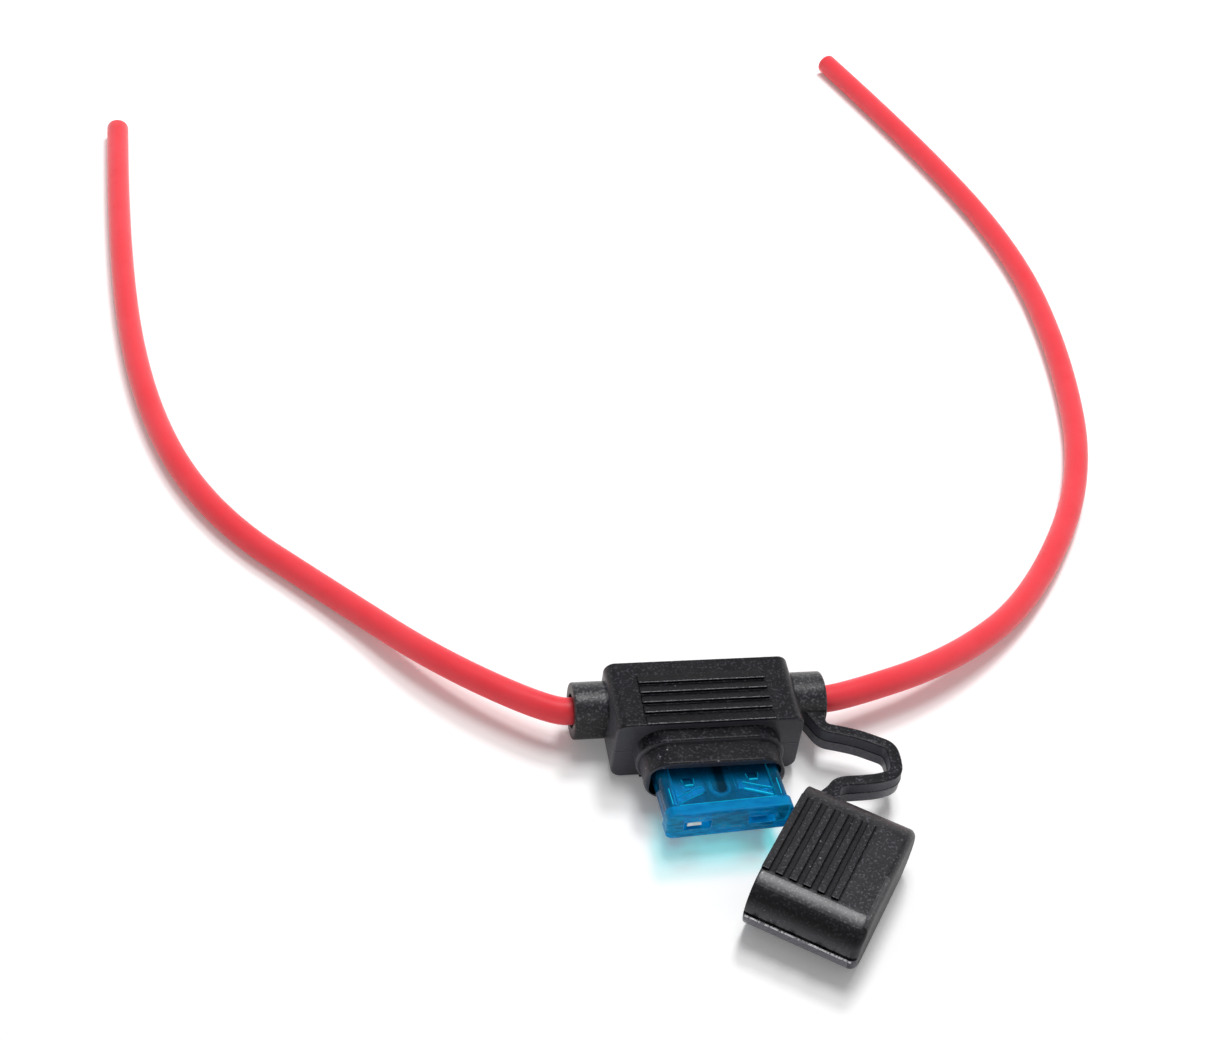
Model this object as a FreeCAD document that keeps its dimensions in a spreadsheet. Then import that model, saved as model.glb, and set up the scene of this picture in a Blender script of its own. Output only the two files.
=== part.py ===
"""Inline holder for one regular blade fuse, with a tethered cap and two wire tails.

Frame, in millimetres: the origin is the middle of the housing's flat underside.
+X runs along the wire glands to the strap side, -Y is the way the fuse comes out
and +Z is up. Everything rests on the plane z = 0.
"""
import math
import os

import FreeCAD, Part
import Sketcher

Vec = FreeCAD.Vector
Rot = FreeCAD.Rotation
Place = FreeCAD.Placement
Rule = Sketcher.Constraint

os.makedirs("parts", exist_ok=True)
doc = FreeCAD.newDocument("inline_fuse_holder")

# Named sizes of the holder, in millimetres and degrees.
SIZES = {
    # housing block
    "housing_length": 28.7,
    "housing_shift_x": 0.05,
    "housing_depth": 13.0,
    "housing_height": 11.2,
    "housing_end_round": 1.7,
    "housing_edge": 0.35,
    # grip teeth on the two wide faces
    "tooth_length": 19.5,
    "tooth_height": 0.35,
    "tooth_land": 0.3,
    "tooth_ramp": 1.7,
    "tooth_root": 0.6,
    "tooth_pitch": 2.0,
    "tooth_count": 4,
    "tooth_first_y": 1.85,
    "last_tooth_ramp": 2.0,
    "mid_height": 5.95,
    # wire glands
    "gland_radius": 4.35,
    "gland_tip_x": 19.5,
    "gland_axis_y": 2.1,
    "gland_recess_radius": 2.7,
    "gland_recess_depth": 0.8,
    "gland_edge": 0.35,
    # two-stage neck around the mouth
    "collar_width": 22.6,
    "collar_height": 9.2,
    "collar_depth": 2.4,
    "collar_edge": 0.4,
    "neck_width": 21.4,
    "neck_height": 7.9,
    "neck_depth": 6.2,
    "neck_edge": 0.35,
    "root_overlap": 1.0,
    # fuse chamber
    "chamber_width": 19.7,
    "chamber_height": 5.8,
    "chamber_corner": 1.6,
    "chamber_play": 0.7,
    # fuse body
    "fuse_width": 19.1,
    "fuse_thickness": 5.1,
    "fuse_corner": 1.3,
    "fuse_front_y": 20.9,
    "fuse_front_x": 0.65,
    "fuse_turn": 3.2,
    "fuse_body_length": 12.2,
    "crown_length": 2.0,
    "crown_edge": 0.3,
    "waist_width": 18.4,
    "waist_thickness": 4.3,
    "waist_corner": 0.9,
    "waist_root": 1.0,
    "window_width": 14.8,
    "window_length": 8.6,
    "window_depth": 0.6,
    "test_slot_width": 4.2,
    "test_slot_height": 1.6,
    "test_slot_depth": 2.2,
    "strip_room_width": 15.4,
    "strip_room_play": 0.1,
    "link_room_width": 4.9,
    "link_room_height": 2.4,
    "link_room_start": 2.9,
    # one-piece fuse strip
    "blade_width": 5.2,
    "blade_thickness": 0.7,
    "blade_centre_x": 4.9,
    "blade_top_y": 2.2,
    "blade_shoulder_y": 3.9,
    "blade_waist_y": 5.6,
    "blade_tip_y": 18.5,
    "blade_notch": 1.2,
    "tip_chamfer": 1.0,
    "link_outer_radius": 1.65,
    "link_inner_radius": 1.05,
    "link_top_y": 6.4,
    "link_foot_y": 9.6,
    "link_foot_width": 0.9,
    "link_overlap": 0.2,
    "link_thickness": 0.4,
    "stake_size": 1.3,
    "stake_y": 7.0,
    "stake_depth": 0.5,
    # contacts
    "contact_width": 7.0,
    "contact_height": 2.7,
    "contact_inner_y": 1.4,
    "contact_sink": 0.1,
    "contact_slot_width": 6.0,
    "contact_slot_height": 0.86,
    "contact_gap_width": 1.8,
    "contact_edge": 1.2,
    "contact_back": 0.3,
    "tail_thickness": 0.7,
    "tail_inner_x": 2.7,
    "tail_outer_x": 9.6,
    "tail_end_y": 0.75,
    "tail_root": 0.5,
    "crimp_start_x": 5.2,
    "crimp_length": 5.6,
    "crimp_radius": 1.95,
    "web_width": 2.2,
    "web_start_x": 10.4,
    "web_drop": 0.3,
    "grip_start_x": 11.4,
    "grip_length": 3.0,
    "grip_radius": 2.6,
    "seam_width": 0.4,
    "seam_depth": 0.45,
    # wires
    "wire_diameter": 4.2,
    "core_diameter": 2.4,
    "strip_x": 12.0,
    "core_inner_x": 4.5,
    "core_chamfer": 0.2,
    # cap
    "cap_width": 25.0,
    "cap_height": 9.9,
    "cap_depth": 17.0,
    "cap_wall_side": 1.55,
    "cap_wall_face": 0.85,
    "cap_wall_end": 1.6,
    "cap_end_round": 1.1,
    "cap_rim_round": 0.3,
    "rib_height": 0.4,
    "rib_root": 0.3,
    "rib_width": 1.05,
    "rib_length": 15.2,
    "rib_pitch": 2.1,
    "rib_count": 6,
    "rib_first_y": 0.55,
    "cap_x": 6.45,
    "cap_y": -26.4,
    "cap_turn": 55.3,
    # strap between the strap-side gland and the cap
    "strap_thickness": 2.0,
    "strap_height": 4.0,
    "strap_mid_z": 5.6,
    "strap_root_x": 17.6,
    "strap_root_y": 0.6,
    "strap_root_width": 3.4,
    "strap_root_depth": 1.8,
    "strap_flare_depth": 3.9,
    "strap_step_y": 4.5,
    "strap_far_x": 27.65,
    "strap_far_y": 8.75,
    "strap_back_x": 27.6,
    "strap_back_y": 14.7,
    "strap_join_reach": 2.9,
    "strap_join_root": 1.0,
    "strap_join_y": -3.5,
    "strap_step_bend": 4.0,
    "strap_far_bend": 4.4,
    "strap_back_bend": 2.3,
    "strap_join_bend": 3.0,
}
sheet = doc.addObject("Spreadsheet::Sheet", "Sizes")
for row, alias in enumerate(SIZES, start=1):
    sheet.set(f"A{row}", alias)
    sheet.set(f"B{row}", str(SIZES[alias]))
    sheet.setAlias(f"B{row}", alias)
doc.recompute()


def size(alias):
    """Value of a named size."""
    return float(SIZES[alias])


def worked(expression):
    """Number that an expression on the sheet gives now."""
    return float(sheet.evalExpression(expression))


def new_body(label):
    """A labelled body."""
    body = doc.addObject("PartDesign::Body", label)
    body.Label = label
    return body


def plane_of(body, role):
    """One of the origin planes of a body."""
    return next(item for item in body.Origin.OriginFeatures if item.Role == role)


def new_sketch(body, label, role, offset="0"):
    """A sketch on an origin plane, moved along the plane's normal."""
    sketch = body.newObject("Sketcher::SketchObject", label)
    sketch.AttachmentSupport = [(plane_of(body, role), "")]
    sketch.MapMode = "FlatFace"
    sketch.setExpression("AttachmentOffset.Base.z", offset)
    return sketch


def bind(sketch, rule, expression):
    """Add a dimension and drive it from the sheet."""
    index = sketch.addConstraint(rule)
    sketch.renameConstraint(index, f"size{index}")
    sketch.setExpression(f"Constraints.size{index}", expression)


def fix_point(sketch, line, end, across, up):
    """Dimension one point of a sketch from the origin."""
    bind(sketch, Rule("DistanceX", -1, 1, line, end, worked(across)), across)
    bind(sketch, Rule("DistanceY", -1, 1, line, end, worked(up)), up)


def polygon(sketch, corners):
    """Closed outline through corners given as pairs of expressions."""
    points = [Vec(worked(across), worked(up), 0) for across, up in corners]
    count = len(points)
    first = sketch.GeometryCount
    for index in range(count):
        following = points[(index + 1) % count]
        sketch.addGeometry(Part.LineSegment(points[index], following), False)
    for index in range(count):
        following = first + (index + 1) % count
        sketch.addConstraint(Rule("Coincident", first + index, 2, following, 1))
    for index, (across, up) in enumerate(corners):
        fix_point(sketch, first + index, 1, across, up)


def box_outline(sketch, left, right, low, high):
    """Rectangle between four expressions."""
    polygon(sketch, [(left, low), (right, low), (right, high), (left, high)])


def circle(sketch, across, up, radius):
    """Circle with its centre and radius on the sheet."""
    centre = Vec(worked(across), worked(up), 0)
    ring = sketch.addGeometry(Part.Circle(centre, Vec(0, 0, 1), worked(radius)), False)
    fix_point(sketch, ring, 3, across, up)
    bind(sketch, Rule("Radius", ring, worked(radius)), radius)


def rounded(sketch, across, up, width, height, radius):
    """Rectangle with four equal round corners, dimensioned from its middle."""
    mid = Vec(worked(across), worked(up), 0)
    half = Vec(worked(width) / 2, worked(height) / 2, 0)
    bend = worked(radius)
    inner = Vec(half.x - bend, half.y - bend, 0)
    quarter = math.pi / 2
    turns = [(1, -1), (1, 1), (-1, 1), (-1, -1)]
    arcs = []
    for index, (side, level) in enumerate(turns):
        centre = mid + Vec(side * inner.x, level * inner.y, 0)
        start = (index - 1) * quarter
        ring = Part.Circle(centre, Vec(0, 0, 1), bend)
        arcs.append(sketch.addGeometry(Part.ArcOfCircle(ring, start, start + quarter), False))
    sides = []
    for index, arc in enumerate(arcs):
        after = arcs[(index + 1) % 4]
        begin = sketch.getPoint(arc, 2)
        end = sketch.getPoint(after, 1)
        sides.append(sketch.addGeometry(Part.LineSegment(begin, end), False))
    for index, arc in enumerate(arcs):
        sketch.addConstraint(Rule("Tangent", arc, 2, sides[index], 1))
        sketch.addConstraint(Rule("Tangent", sides[index], 2, arcs[(index + 1) % 4], 1))
    for side in (sides[0], sides[2]):
        sketch.addConstraint(Rule("Vertical", side))
    for side in (sides[1], sides[3]):
        sketch.addConstraint(Rule("Horizontal", side))
    for arc in arcs[1:]:
        sketch.addConstraint(Rule("Equal", arcs[0], arc))
    bind(sketch, Rule("Radius", arcs[0], bend), radius)
    right = f"{across} + {width} / 2"
    left = f"{across} - {width} / 2"
    high = f"{up} + {height} / 2"
    low = f"{up} - {height} / 2"
    bind(sketch, Rule("DistanceX", -1, 1, sides[0], 1, worked(right)), right)
    bind(sketch, Rule("DistanceX", -1, 1, sides[2], 1, worked(left)), left)
    bind(sketch, Rule("DistanceY", -1, 1, sides[1], 1, worked(high)), high)
    bind(sketch, Rule("DistanceY", -1, 1, sides[3], 1, worked(low)), low)


def stadium(sketch, across, up, width, height):
    """Slot outline with two half-round ends."""
    mid = Vec(worked(across), worked(up), 0)
    bend = worked(height) / 2
    reach = worked(width) / 2 - bend
    quarter = math.pi / 2
    ring_right = Part.Circle(mid + Vec(reach, 0, 0), Vec(0, 0, 1), bend)
    ring_left = Part.Circle(mid - Vec(reach, 0, 0), Vec(0, 0, 1), bend)
    right = sketch.addGeometry(Part.ArcOfCircle(ring_right, -quarter, quarter), False)
    left = sketch.addGeometry(Part.ArcOfCircle(ring_left, quarter, 3 * quarter), False)
    top = sketch.addGeometry(
        Part.LineSegment(mid + Vec(reach, bend, 0), mid + Vec(-reach, bend, 0)), False)
    low = sketch.addGeometry(
        Part.LineSegment(mid + Vec(-reach, -bend, 0), mid + Vec(reach, -bend, 0)), False)
    sketch.addConstraint(Rule("Tangent", right, 2, top, 1))
    sketch.addConstraint(Rule("Tangent", top, 2, left, 1))
    sketch.addConstraint(Rule("Tangent", left, 2, low, 1))
    sketch.addConstraint(Rule("Tangent", low, 2, right, 1))
    sketch.addConstraint(Rule("Horizontal", top))
    bind(sketch, Rule("Radius", right, bend), f"{height} / 2")
    fix_point(sketch, right, 3, f"{across} + {width} / 2 - {height} / 2", up)
    reach_left = f"{across} - {width} / 2 + {height} / 2"
    bind(sketch, Rule("DistanceX", -1, 1, left, 3, worked(reach_left)), reach_left)


def extrude(body, kind, label, sketch, length, reverse=False, middle=False):
    """Pad or pocket of a sketch by a length on the sheet."""
    feature = body.newObject(f"PartDesign::{kind}", label)
    feature.Profile = sketch
    feature.Type = 0
    feature.Reversed = reverse
    feature.Midplane = middle
    feature.setExpression("Length", length)
    sketch.Visibility = False
    doc.recompute()
    return feature


def edges_where(feature, test):
    """Names of the edges of a feature whose middle passes a test."""
    names = []
    for index, edge in enumerate(feature.Shape.Edges, start=1):
        middle = edge.valueAt((edge.FirstParameter + edge.LastParameter) / 2)
        if test(edge, middle):
            names.append(f"Edge{index}")
    return names


def soften(body, kind, label, base, test, amount):
    """Fillet or chamfer on the edges that pass a test."""
    feature = body.newObject(f"PartDesign::{kind}", label)
    feature.Base = (base, edges_where(base, test))
    feature.setExpression("Radius" if kind == "Fillet" else "Size", amount)
    doc.recompute()
    return feature


def mirrored(body, label, originals, role):
    """Copies of features on the other side of an origin plane."""
    feature = body.newObject("PartDesign::Mirrored", label)
    feature.Originals = originals
    feature.MirrorPlane = (plane_of(body, role), [""])
    body.Tip = feature
    doc.recompute()
    return feature


def row_of(body, label, originals, sketch, axis, spacing, count, reverse=False):
    """Evenly spaced copies of features along a sketch axis."""
    feature = body.newObject("PartDesign::LinearPattern", label)
    feature.Originals = originals
    feature.Direction = (sketch, [axis])
    feature.Reversed = reverse
    feature.setExpression("Length", f"{spacing} * ({count} - 1)")
    feature.setExpression("Occurrences", count)
    body.Tip = feature
    doc.recompute()
    return feature


def near(first, second, slack=0.02):
    """True when two numbers agree closely."""
    return abs(first - second) < slack


# Housing: one soft moulding with both glands and the mouth.
HALF_DEPTH = "Sizes.housing_depth / 2"
CHAMBER_FLOOR = "(Sizes.fuse_front_y - Sizes.fuse_body_length - Sizes.chamber_play)"
CONTACT_MOUTH = f"({CHAMBER_FLOOR} - Sizes.contact_sink)"
CONTACT_LENGTH = f"({CONTACT_MOUTH} - Sizes.contact_inner_y)"
TAIL_START = "-Sizes.contact_inner_y - Sizes.tail_root"
housing = new_body("housing")
profile = new_sketch(housing, "housing_profile", "XZ_Plane")
rounded(
    profile, "Sizes.housing_shift_x", "Sizes.mid_height", "Sizes.housing_length",
    "Sizes.housing_height", "Sizes.housing_end_round")
block = extrude(housing, "Pad", "housing_block", profile, "Sizes.housing_depth", middle=True)
block_edges = soften(
    housing, "Fillet", "housing_edges", block,
    lambda edge, mid: near(abs(mid.y), size("housing_depth") / 2), "Sizes.housing_edge")

gland_plan = new_sketch(housing, "gland_outline", "YZ_Plane")
circle(gland_plan, "Sizes.gland_axis_y", "Sizes.mid_height", "Sizes.gland_radius")
glands = extrude(
    housing, "Pad", "glands", gland_plan,
    "2 * Sizes.gland_tip_x", middle=True)
gland_edges = soften(
    housing, "Fillet", "gland_edges", glands,
    lambda edge, mid: near(abs(mid.x), size("gland_tip_x")), "Sizes.gland_edge")

collar_plan = new_sketch(housing, "collar_outline", "XZ_Plane", f"{HALF_DEPTH} - Sizes.root_overlap")
stadium(collar_plan, "0", "Sizes.mid_height", "Sizes.collar_width", "Sizes.collar_height")
collar = extrude(housing, "Pad", "collar", collar_plan, "Sizes.collar_depth + Sizes.root_overlap")
collar_front = -size("housing_depth") / 2 - size("collar_depth")
collar_edges = soften(
    housing, "Fillet", "collar_edges", collar,
    lambda edge, mid: near(mid.y, collar_front), "Sizes.collar_edge")

neck_plan = new_sketch(housing, "neck_outline", "XZ_Plane", f"{HALF_DEPTH} + Sizes.root_overlap")
stadium(neck_plan, "0", "Sizes.mid_height", "Sizes.neck_width", "Sizes.neck_height")
neck = extrude(housing, "Pad", "neck", neck_plan, "Sizes.neck_depth - Sizes.root_overlap")
mouth_y = -size("housing_depth") / 2 - size("neck_depth")
neck_edges = soften(
    housing, "Fillet", "neck_edges", neck,
    lambda edge, mid: near(mid.y, mouth_y), "Sizes.neck_edge")

chamber_plan = new_sketch(
    housing, "chamber_outline", "XZ_Plane", f"{HALF_DEPTH} + Sizes.neck_depth")
rounded(
    chamber_plan, "0", "Sizes.mid_height", "Sizes.chamber_width", "Sizes.chamber_height",
    "Sizes.chamber_corner")
chamber = extrude(
    housing, "Pocket", "fuse_chamber", chamber_plan,
    f"{HALF_DEPTH} + Sizes.neck_depth - {CHAMBER_FLOOR}")

contact_plan = new_sketch(housing, "contact_room_outline", "XZ_Plane", CHAMBER_FLOOR)
rounded(
    contact_plan, "Sizes.blade_centre_x", "Sizes.mid_height", "Sizes.contact_width",
    "Sizes.contact_height", "Sizes.contact_edge")
contact_room = extrude(
    housing, "Pocket", "contact_room", contact_plan,
    f"{CHAMBER_FLOOR} - Sizes.contact_inner_y")

tail_plan = new_sketch(
    housing, "tail_room_outline", "XY_Plane", "Sizes.mid_height + Sizes.tail_thickness / 2")
box_outline(
    tail_plan, "Sizes.tail_inner_x", "Sizes.tail_outer_x", TAIL_START, "Sizes.tail_end_y")
tail_room = extrude(housing, "Pocket", "tail_room", tail_plan, "Sizes.tail_thickness")

crimp_plan = new_sketch(housing, "crimp_room_outline", "YZ_Plane", "Sizes.core_inner_x")
circle(crimp_plan, "Sizes.gland_axis_y", "Sizes.mid_height", "Sizes.crimp_radius")
crimp_room = extrude(
    housing, "Pocket", "crimp_room", crimp_plan,
    "Sizes.web_start_x - Sizes.core_inner_x", reverse=True)

grip_plan = new_sketch(housing, "grip_room_outline", "YZ_Plane", "Sizes.web_start_x")
circle(grip_plan, "Sizes.gland_axis_y", "Sizes.mid_height", "Sizes.grip_radius")
grip_room = extrude(
    housing, "Pocket", "grip_room", grip_plan,
    "Sizes.grip_start_x + Sizes.grip_length - Sizes.web_start_x", reverse=True)

bore_plan = new_sketch(housing, "wire_bore_outline", "YZ_Plane", "Sizes.grip_start_x")
circle(bore_plan, "Sizes.gland_axis_y", "Sizes.mid_height", "Sizes.wire_diameter / 2")
wire_bore = extrude(
    housing, "Pocket", "wire_bore", bore_plan, "Sizes.housing_length", reverse=True)

recess_plan = new_sketch(
    housing, "gland_recess_outline", "YZ_Plane",
    "Sizes.gland_tip_x - Sizes.gland_recess_depth")
circle(recess_plan, "Sizes.gland_axis_y", "Sizes.mid_height", "Sizes.gland_recess_radius")
recess = extrude(
    housing, "Pocket", "gland_recess", recess_plan,
    "Sizes.gland_recess_depth + Sizes.root_overlap", reverse=True)

mirrored(
    housing, "second_side",
    [contact_room, tail_room, crimp_room, grip_room, wire_bore, recess], "YZ_Plane")


def grip_tooth(label, side, front, ramp):
    """One grip tooth: upright towards the mouth, with a narrow land and a slope behind.

    side is 1 on the upper face and -1 on the lower one; front is the place of the
    upright flank and ramp how far the tooth reaches behind it, both expressions.
    """
    face = f"Sizes.mid_height + {side} * Sizes.housing_height / 2"
    root = f"{face} - {side} * Sizes.tooth_root"
    crest = f"{face} + {side} * Sizes.tooth_height"
    section = new_sketch(housing, f"{label}_section", "YZ_Plane")
    polygon(section, [
        (front, root), (front, crest), (f"{front} + Sizes.tooth_land", crest),
        (f"{front} + {ramp}", face), (f"{front} + {ramp}", root),
    ])
    return section, extrude(
        housing, "Pad", label, section, "Sizes.tooth_length", middle=True)


for face_name, face_side in (("upper", 1), ("lower", -1)):
    section, tooth = grip_tooth(
        f"{face_name}_tooth", face_side, "Sizes.tooth_first_y", "Sizes.tooth_ramp")
    row_of(
        housing, f"{face_name}_teeth", [tooth], section, "H_Axis", "Sizes.tooth_pitch",
        "Sizes.tooth_count", reverse=True)
    grip_tooth(
        f"{face_name}_last_tooth", face_side, f"-{HALF_DEPTH}", "Sizes.last_tooth_ramp")


# Contacts: each is one folded stamping with its crimp barrel.
def build_contact(label):
    """Female contact for the strap side, in the holder's own place."""
    body = new_body(label)
    outline = new_sketch(body, f"{label}_outline", "XZ_Plane", CONTACT_MOUTH)
    rounded(
        outline, "Sizes.blade_centre_x", "Sizes.mid_height", "Sizes.contact_width",
        "Sizes.contact_height", "Sizes.contact_edge")
    extrude(body, "Pad", f"{label}_box", outline, CONTACT_LENGTH, reverse=True)
    tail = new_sketch(
        body, f"{label}_tail_outline", "XY_Plane", "Sizes.mid_height - Sizes.tail_thickness / 2")
    box_outline(
        tail, "Sizes.tail_inner_x", "Sizes.tail_outer_x", TAIL_START, "Sizes.tail_end_y")
    extrude(body, "Pad", f"{label}_tail", tail, "Sizes.tail_thickness")
    barrel = new_sketch(body, f"{label}_crimp_outline", "YZ_Plane", "Sizes.crimp_start_x")
    circle(barrel, "Sizes.gland_axis_y", "Sizes.mid_height", "Sizes.crimp_radius")
    extrude(body, "Pad", f"{label}_crimp", barrel, "Sizes.crimp_length")
    web = new_sketch(body, f"{label}_web_outline", "YZ_Plane", "Sizes.web_start_x")
    box_outline(
        web, "Sizes.gland_axis_y - Sizes.web_width / 2", "Sizes.gland_axis_y + Sizes.web_width / 2",
        "Sizes.mid_height - Sizes.crimp_radius - Sizes.web_drop",
        "Sizes.mid_height - Sizes.core_diameter / 2")
    extrude(body, "Pad", f"{label}_web", web, "Sizes.strip_x - Sizes.web_start_x")
    grip = new_sketch(body, f"{label}_grip_outline", "YZ_Plane", "Sizes.grip_start_x")
    circle(grip, "Sizes.gland_axis_y", "Sizes.mid_height", "Sizes.grip_radius")
    extrude(body, "Pad", f"{label}_grip", grip, "Sizes.grip_length")
    for part_name, start, length, radius in (
            ("crimp", "Sizes.crimp_start_x", "Sizes.crimp_length", "Sizes.crimp_radius"),
            ("grip", "Sizes.grip_start_x", "Sizes.grip_length", "Sizes.grip_radius")):
        seam = new_sketch(body, f"{label}_{part_name}_seam_outline", "YZ_Plane", start)
        box_outline(
            seam, "Sizes.gland_axis_y - Sizes.seam_width / 2",
            "Sizes.gland_axis_y + Sizes.seam_width / 2",
            f"Sizes.mid_height + {radius} - Sizes.seam_depth", f"Sizes.mid_height + {radius}")
        extrude(body, "Pocket", f"{label}_{part_name}_seam", seam, length, reverse=True)
    throat = new_sketch(body, f"{label}_throat_outline", "YZ_Plane", "Sizes.grip_start_x")
    circle(throat, "Sizes.gland_axis_y", "Sizes.mid_height", "Sizes.wire_diameter / 2")
    extrude(body, "Pocket", f"{label}_throat", throat, "Sizes.grip_length", reverse=True)
    core = new_sketch(body, f"{label}_core_outline", "YZ_Plane", "Sizes.core_inner_x")
    circle(core, "Sizes.gland_axis_y", "Sizes.mid_height", "Sizes.core_diameter / 2")
    extrude(
        body, "Pocket", f"{label}_core_room", core, "Sizes.strip_x - Sizes.core_inner_x",
        reverse=True)
    slot = new_sketch(body, f"{label}_slot_outline", "XZ_Plane", CONTACT_MOUTH)
    box_outline(
        slot, "Sizes.blade_centre_x - Sizes.contact_slot_width / 2",
        "Sizes.blade_centre_x + Sizes.contact_slot_width / 2",
        "Sizes.mid_height - Sizes.contact_slot_height / 2",
        "Sizes.mid_height + Sizes.contact_slot_height / 2")
    slot_depth = f"{CONTACT_LENGTH} - Sizes.contact_back"
    extrude(body, "Pocket", f"{label}_slot", slot, slot_depth)
    gap = new_sketch(body, f"{label}_gap_outline", "XZ_Plane", CONTACT_MOUTH)
    box_outline(
        gap, "Sizes.blade_centre_x - Sizes.contact_gap_width / 2",
        "Sizes.blade_centre_x + Sizes.contact_gap_width / 2",
        "Sizes.mid_height", "Sizes.mid_height + Sizes.contact_height")
    extrude(body, "Pocket", f"{label}_gap", gap, slot_depth)
    return body


contact_right = build_contact("contact_right")
contact_left = build_contact("contact_left")
contact_left.Placement = Place(Vec(0, 0, 2 * size("mid_height")), Rot(Vec(0, 1, 0), 180))
contact_left.setExpression("Placement.Base.z", "2 * Sizes.mid_height")


# Conductors: the stripped ends of the wires, gripped by the crimps.
def build_conductor(label, side):
    """Stripped end of one wire; side is 1 towards the strap and -1 away from it."""
    body = new_body(label)
    outline = new_sketch(body, f"{label}_outline", "YZ_Plane", f"{side} * Sizes.core_inner_x")
    circle(outline, "Sizes.gland_axis_y", "Sizes.mid_height", "Sizes.core_diameter / 2")
    rod = extrude(
        body, "Pad", f"{label}_rod", outline, "Sizes.strip_x - Sizes.core_inner_x",
        reverse=side < 0)
    soften(
        body, "Chamfer", f"{label}_end", rod,
        lambda edge, mid: near(abs(mid.x), size("core_inner_x")), "Sizes.core_chamfer")
    return body


conductor_left = build_conductor("conductor_left", -1)
conductor_right = build_conductor("conductor_right", 1)

# Fuse body: local origin in the middle of its outer end, +Y towards the contacts.
fuse_body = new_body("fuse_body")
crown_plan = new_sketch(fuse_body, "crown_outline", "XZ_Plane")
rounded(
    crown_plan, "0", "0", "Sizes.fuse_width", "Sizes.fuse_thickness", "Sizes.fuse_corner")
crown = extrude(fuse_body, "Pad", "crown", crown_plan, "Sizes.crown_length", reverse=True)
crown_edges = soften(
    fuse_body, "Fillet", "crown_edges", crown, lambda edge, mid: near(mid.y, 0),
    "Sizes.crown_edge")
waist_plan = new_sketch(fuse_body, "waist_outline", "XZ_Plane", "-Sizes.waist_root")
rounded(
    waist_plan, "0", "0", "Sizes.waist_width", "Sizes.waist_thickness", "Sizes.waist_corner")
waist = extrude(
    fuse_body, "Pad", "waist", waist_plan, "Sizes.fuse_body_length - Sizes.waist_root",
    reverse=True)
window_plan = new_sketch(fuse_body, "window_outline", "XY_Plane", "Sizes.waist_thickness / 2")
box_outline(
    window_plan, "-Sizes.window_width / 2", "Sizes.window_width / 2",
    "Sizes.crown_length", "Sizes.crown_length + Sizes.window_length")
window = extrude(fuse_body, "Pocket", "window", window_plan, "Sizes.window_depth")
stake_plan = new_sketch(
    fuse_body, "stake_outline", "XY_Plane", "Sizes.waist_thickness / 2 - Sizes.window_depth")
box_outline(
    stake_plan, "Sizes.blade_centre_x - Sizes.stake_size / 2",
    "Sizes.blade_centre_x + Sizes.stake_size / 2",
    "Sizes.stake_y - Sizes.stake_size / 2", "Sizes.stake_y + Sizes.stake_size / 2")
box_outline(
    stake_plan, "-Sizes.blade_centre_x - Sizes.stake_size / 2",
    "-Sizes.blade_centre_x + Sizes.stake_size / 2",
    "Sizes.stake_y - Sizes.stake_size / 2", "Sizes.stake_y + Sizes.stake_size / 2")
stakes = extrude(fuse_body, "Pocket", "stake_marks", stake_plan, "Sizes.stake_depth")
mirrored(fuse_body, "second_face", [window, stakes], "XY_Plane")
test_plan = new_sketch(fuse_body, "test_slot_outline", "XZ_Plane")
box_outline(
    test_plan, "Sizes.blade_centre_x - Sizes.test_slot_width / 2",
    "Sizes.blade_centre_x + Sizes.test_slot_width / 2",
    "-Sizes.test_slot_height / 2", "Sizes.test_slot_height / 2")
box_outline(
    test_plan, "-Sizes.blade_centre_x - Sizes.test_slot_width / 2",
    "-Sizes.blade_centre_x + Sizes.test_slot_width / 2",
    "-Sizes.test_slot_height / 2", "Sizes.test_slot_height / 2")
extrude(fuse_body, "Pocket", "test_slots", test_plan, "Sizes.test_slot_depth")
STRIP_ROOM = "(Sizes.blade_thickness + Sizes.strip_room_play)"
strip_plan = new_sketch(fuse_body, "strip_room_outline", "XY_Plane", f"{STRIP_ROOM} / 2")
box_outline(
    strip_plan, "-Sizes.strip_room_width / 2", "Sizes.strip_room_width / 2",
    "Sizes.blade_top_y", "Sizes.fuse_body_length + Sizes.waist_root")
extrude(fuse_body, "Pocket", "strip_room", strip_plan, STRIP_ROOM)
link_plan = new_sketch(fuse_body, "link_room_outline", "XY_Plane", "Sizes.link_room_height / 2")
box_outline(
    link_plan, "-Sizes.link_room_width / 2", "Sizes.link_room_width / 2",
    "Sizes.link_room_start", "Sizes.fuse_body_length + Sizes.waist_root")
extrude(fuse_body, "Pocket", "link_room", link_plan, "Sizes.link_room_height")
fuse_turn = Rot(Vec(0, 0, 1), size("fuse_turn"))
fuse_front = Vec(size("fuse_front_x"), -size("fuse_front_y"), size("mid_height"))


def seat_fuse(body):
    """Put a fuse piece in the chamber, where it stands a little askew."""
    body.Placement = Place(fuse_front, fuse_turn)
    body.setExpression("Placement.Base.x", "Sizes.fuse_front_x")
    body.setExpression("Placement.Base.y", "-Sizes.fuse_front_y")
    body.setExpression("Placement.Base.z", "Sizes.mid_height")


seat_fuse(fuse_body)

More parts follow.
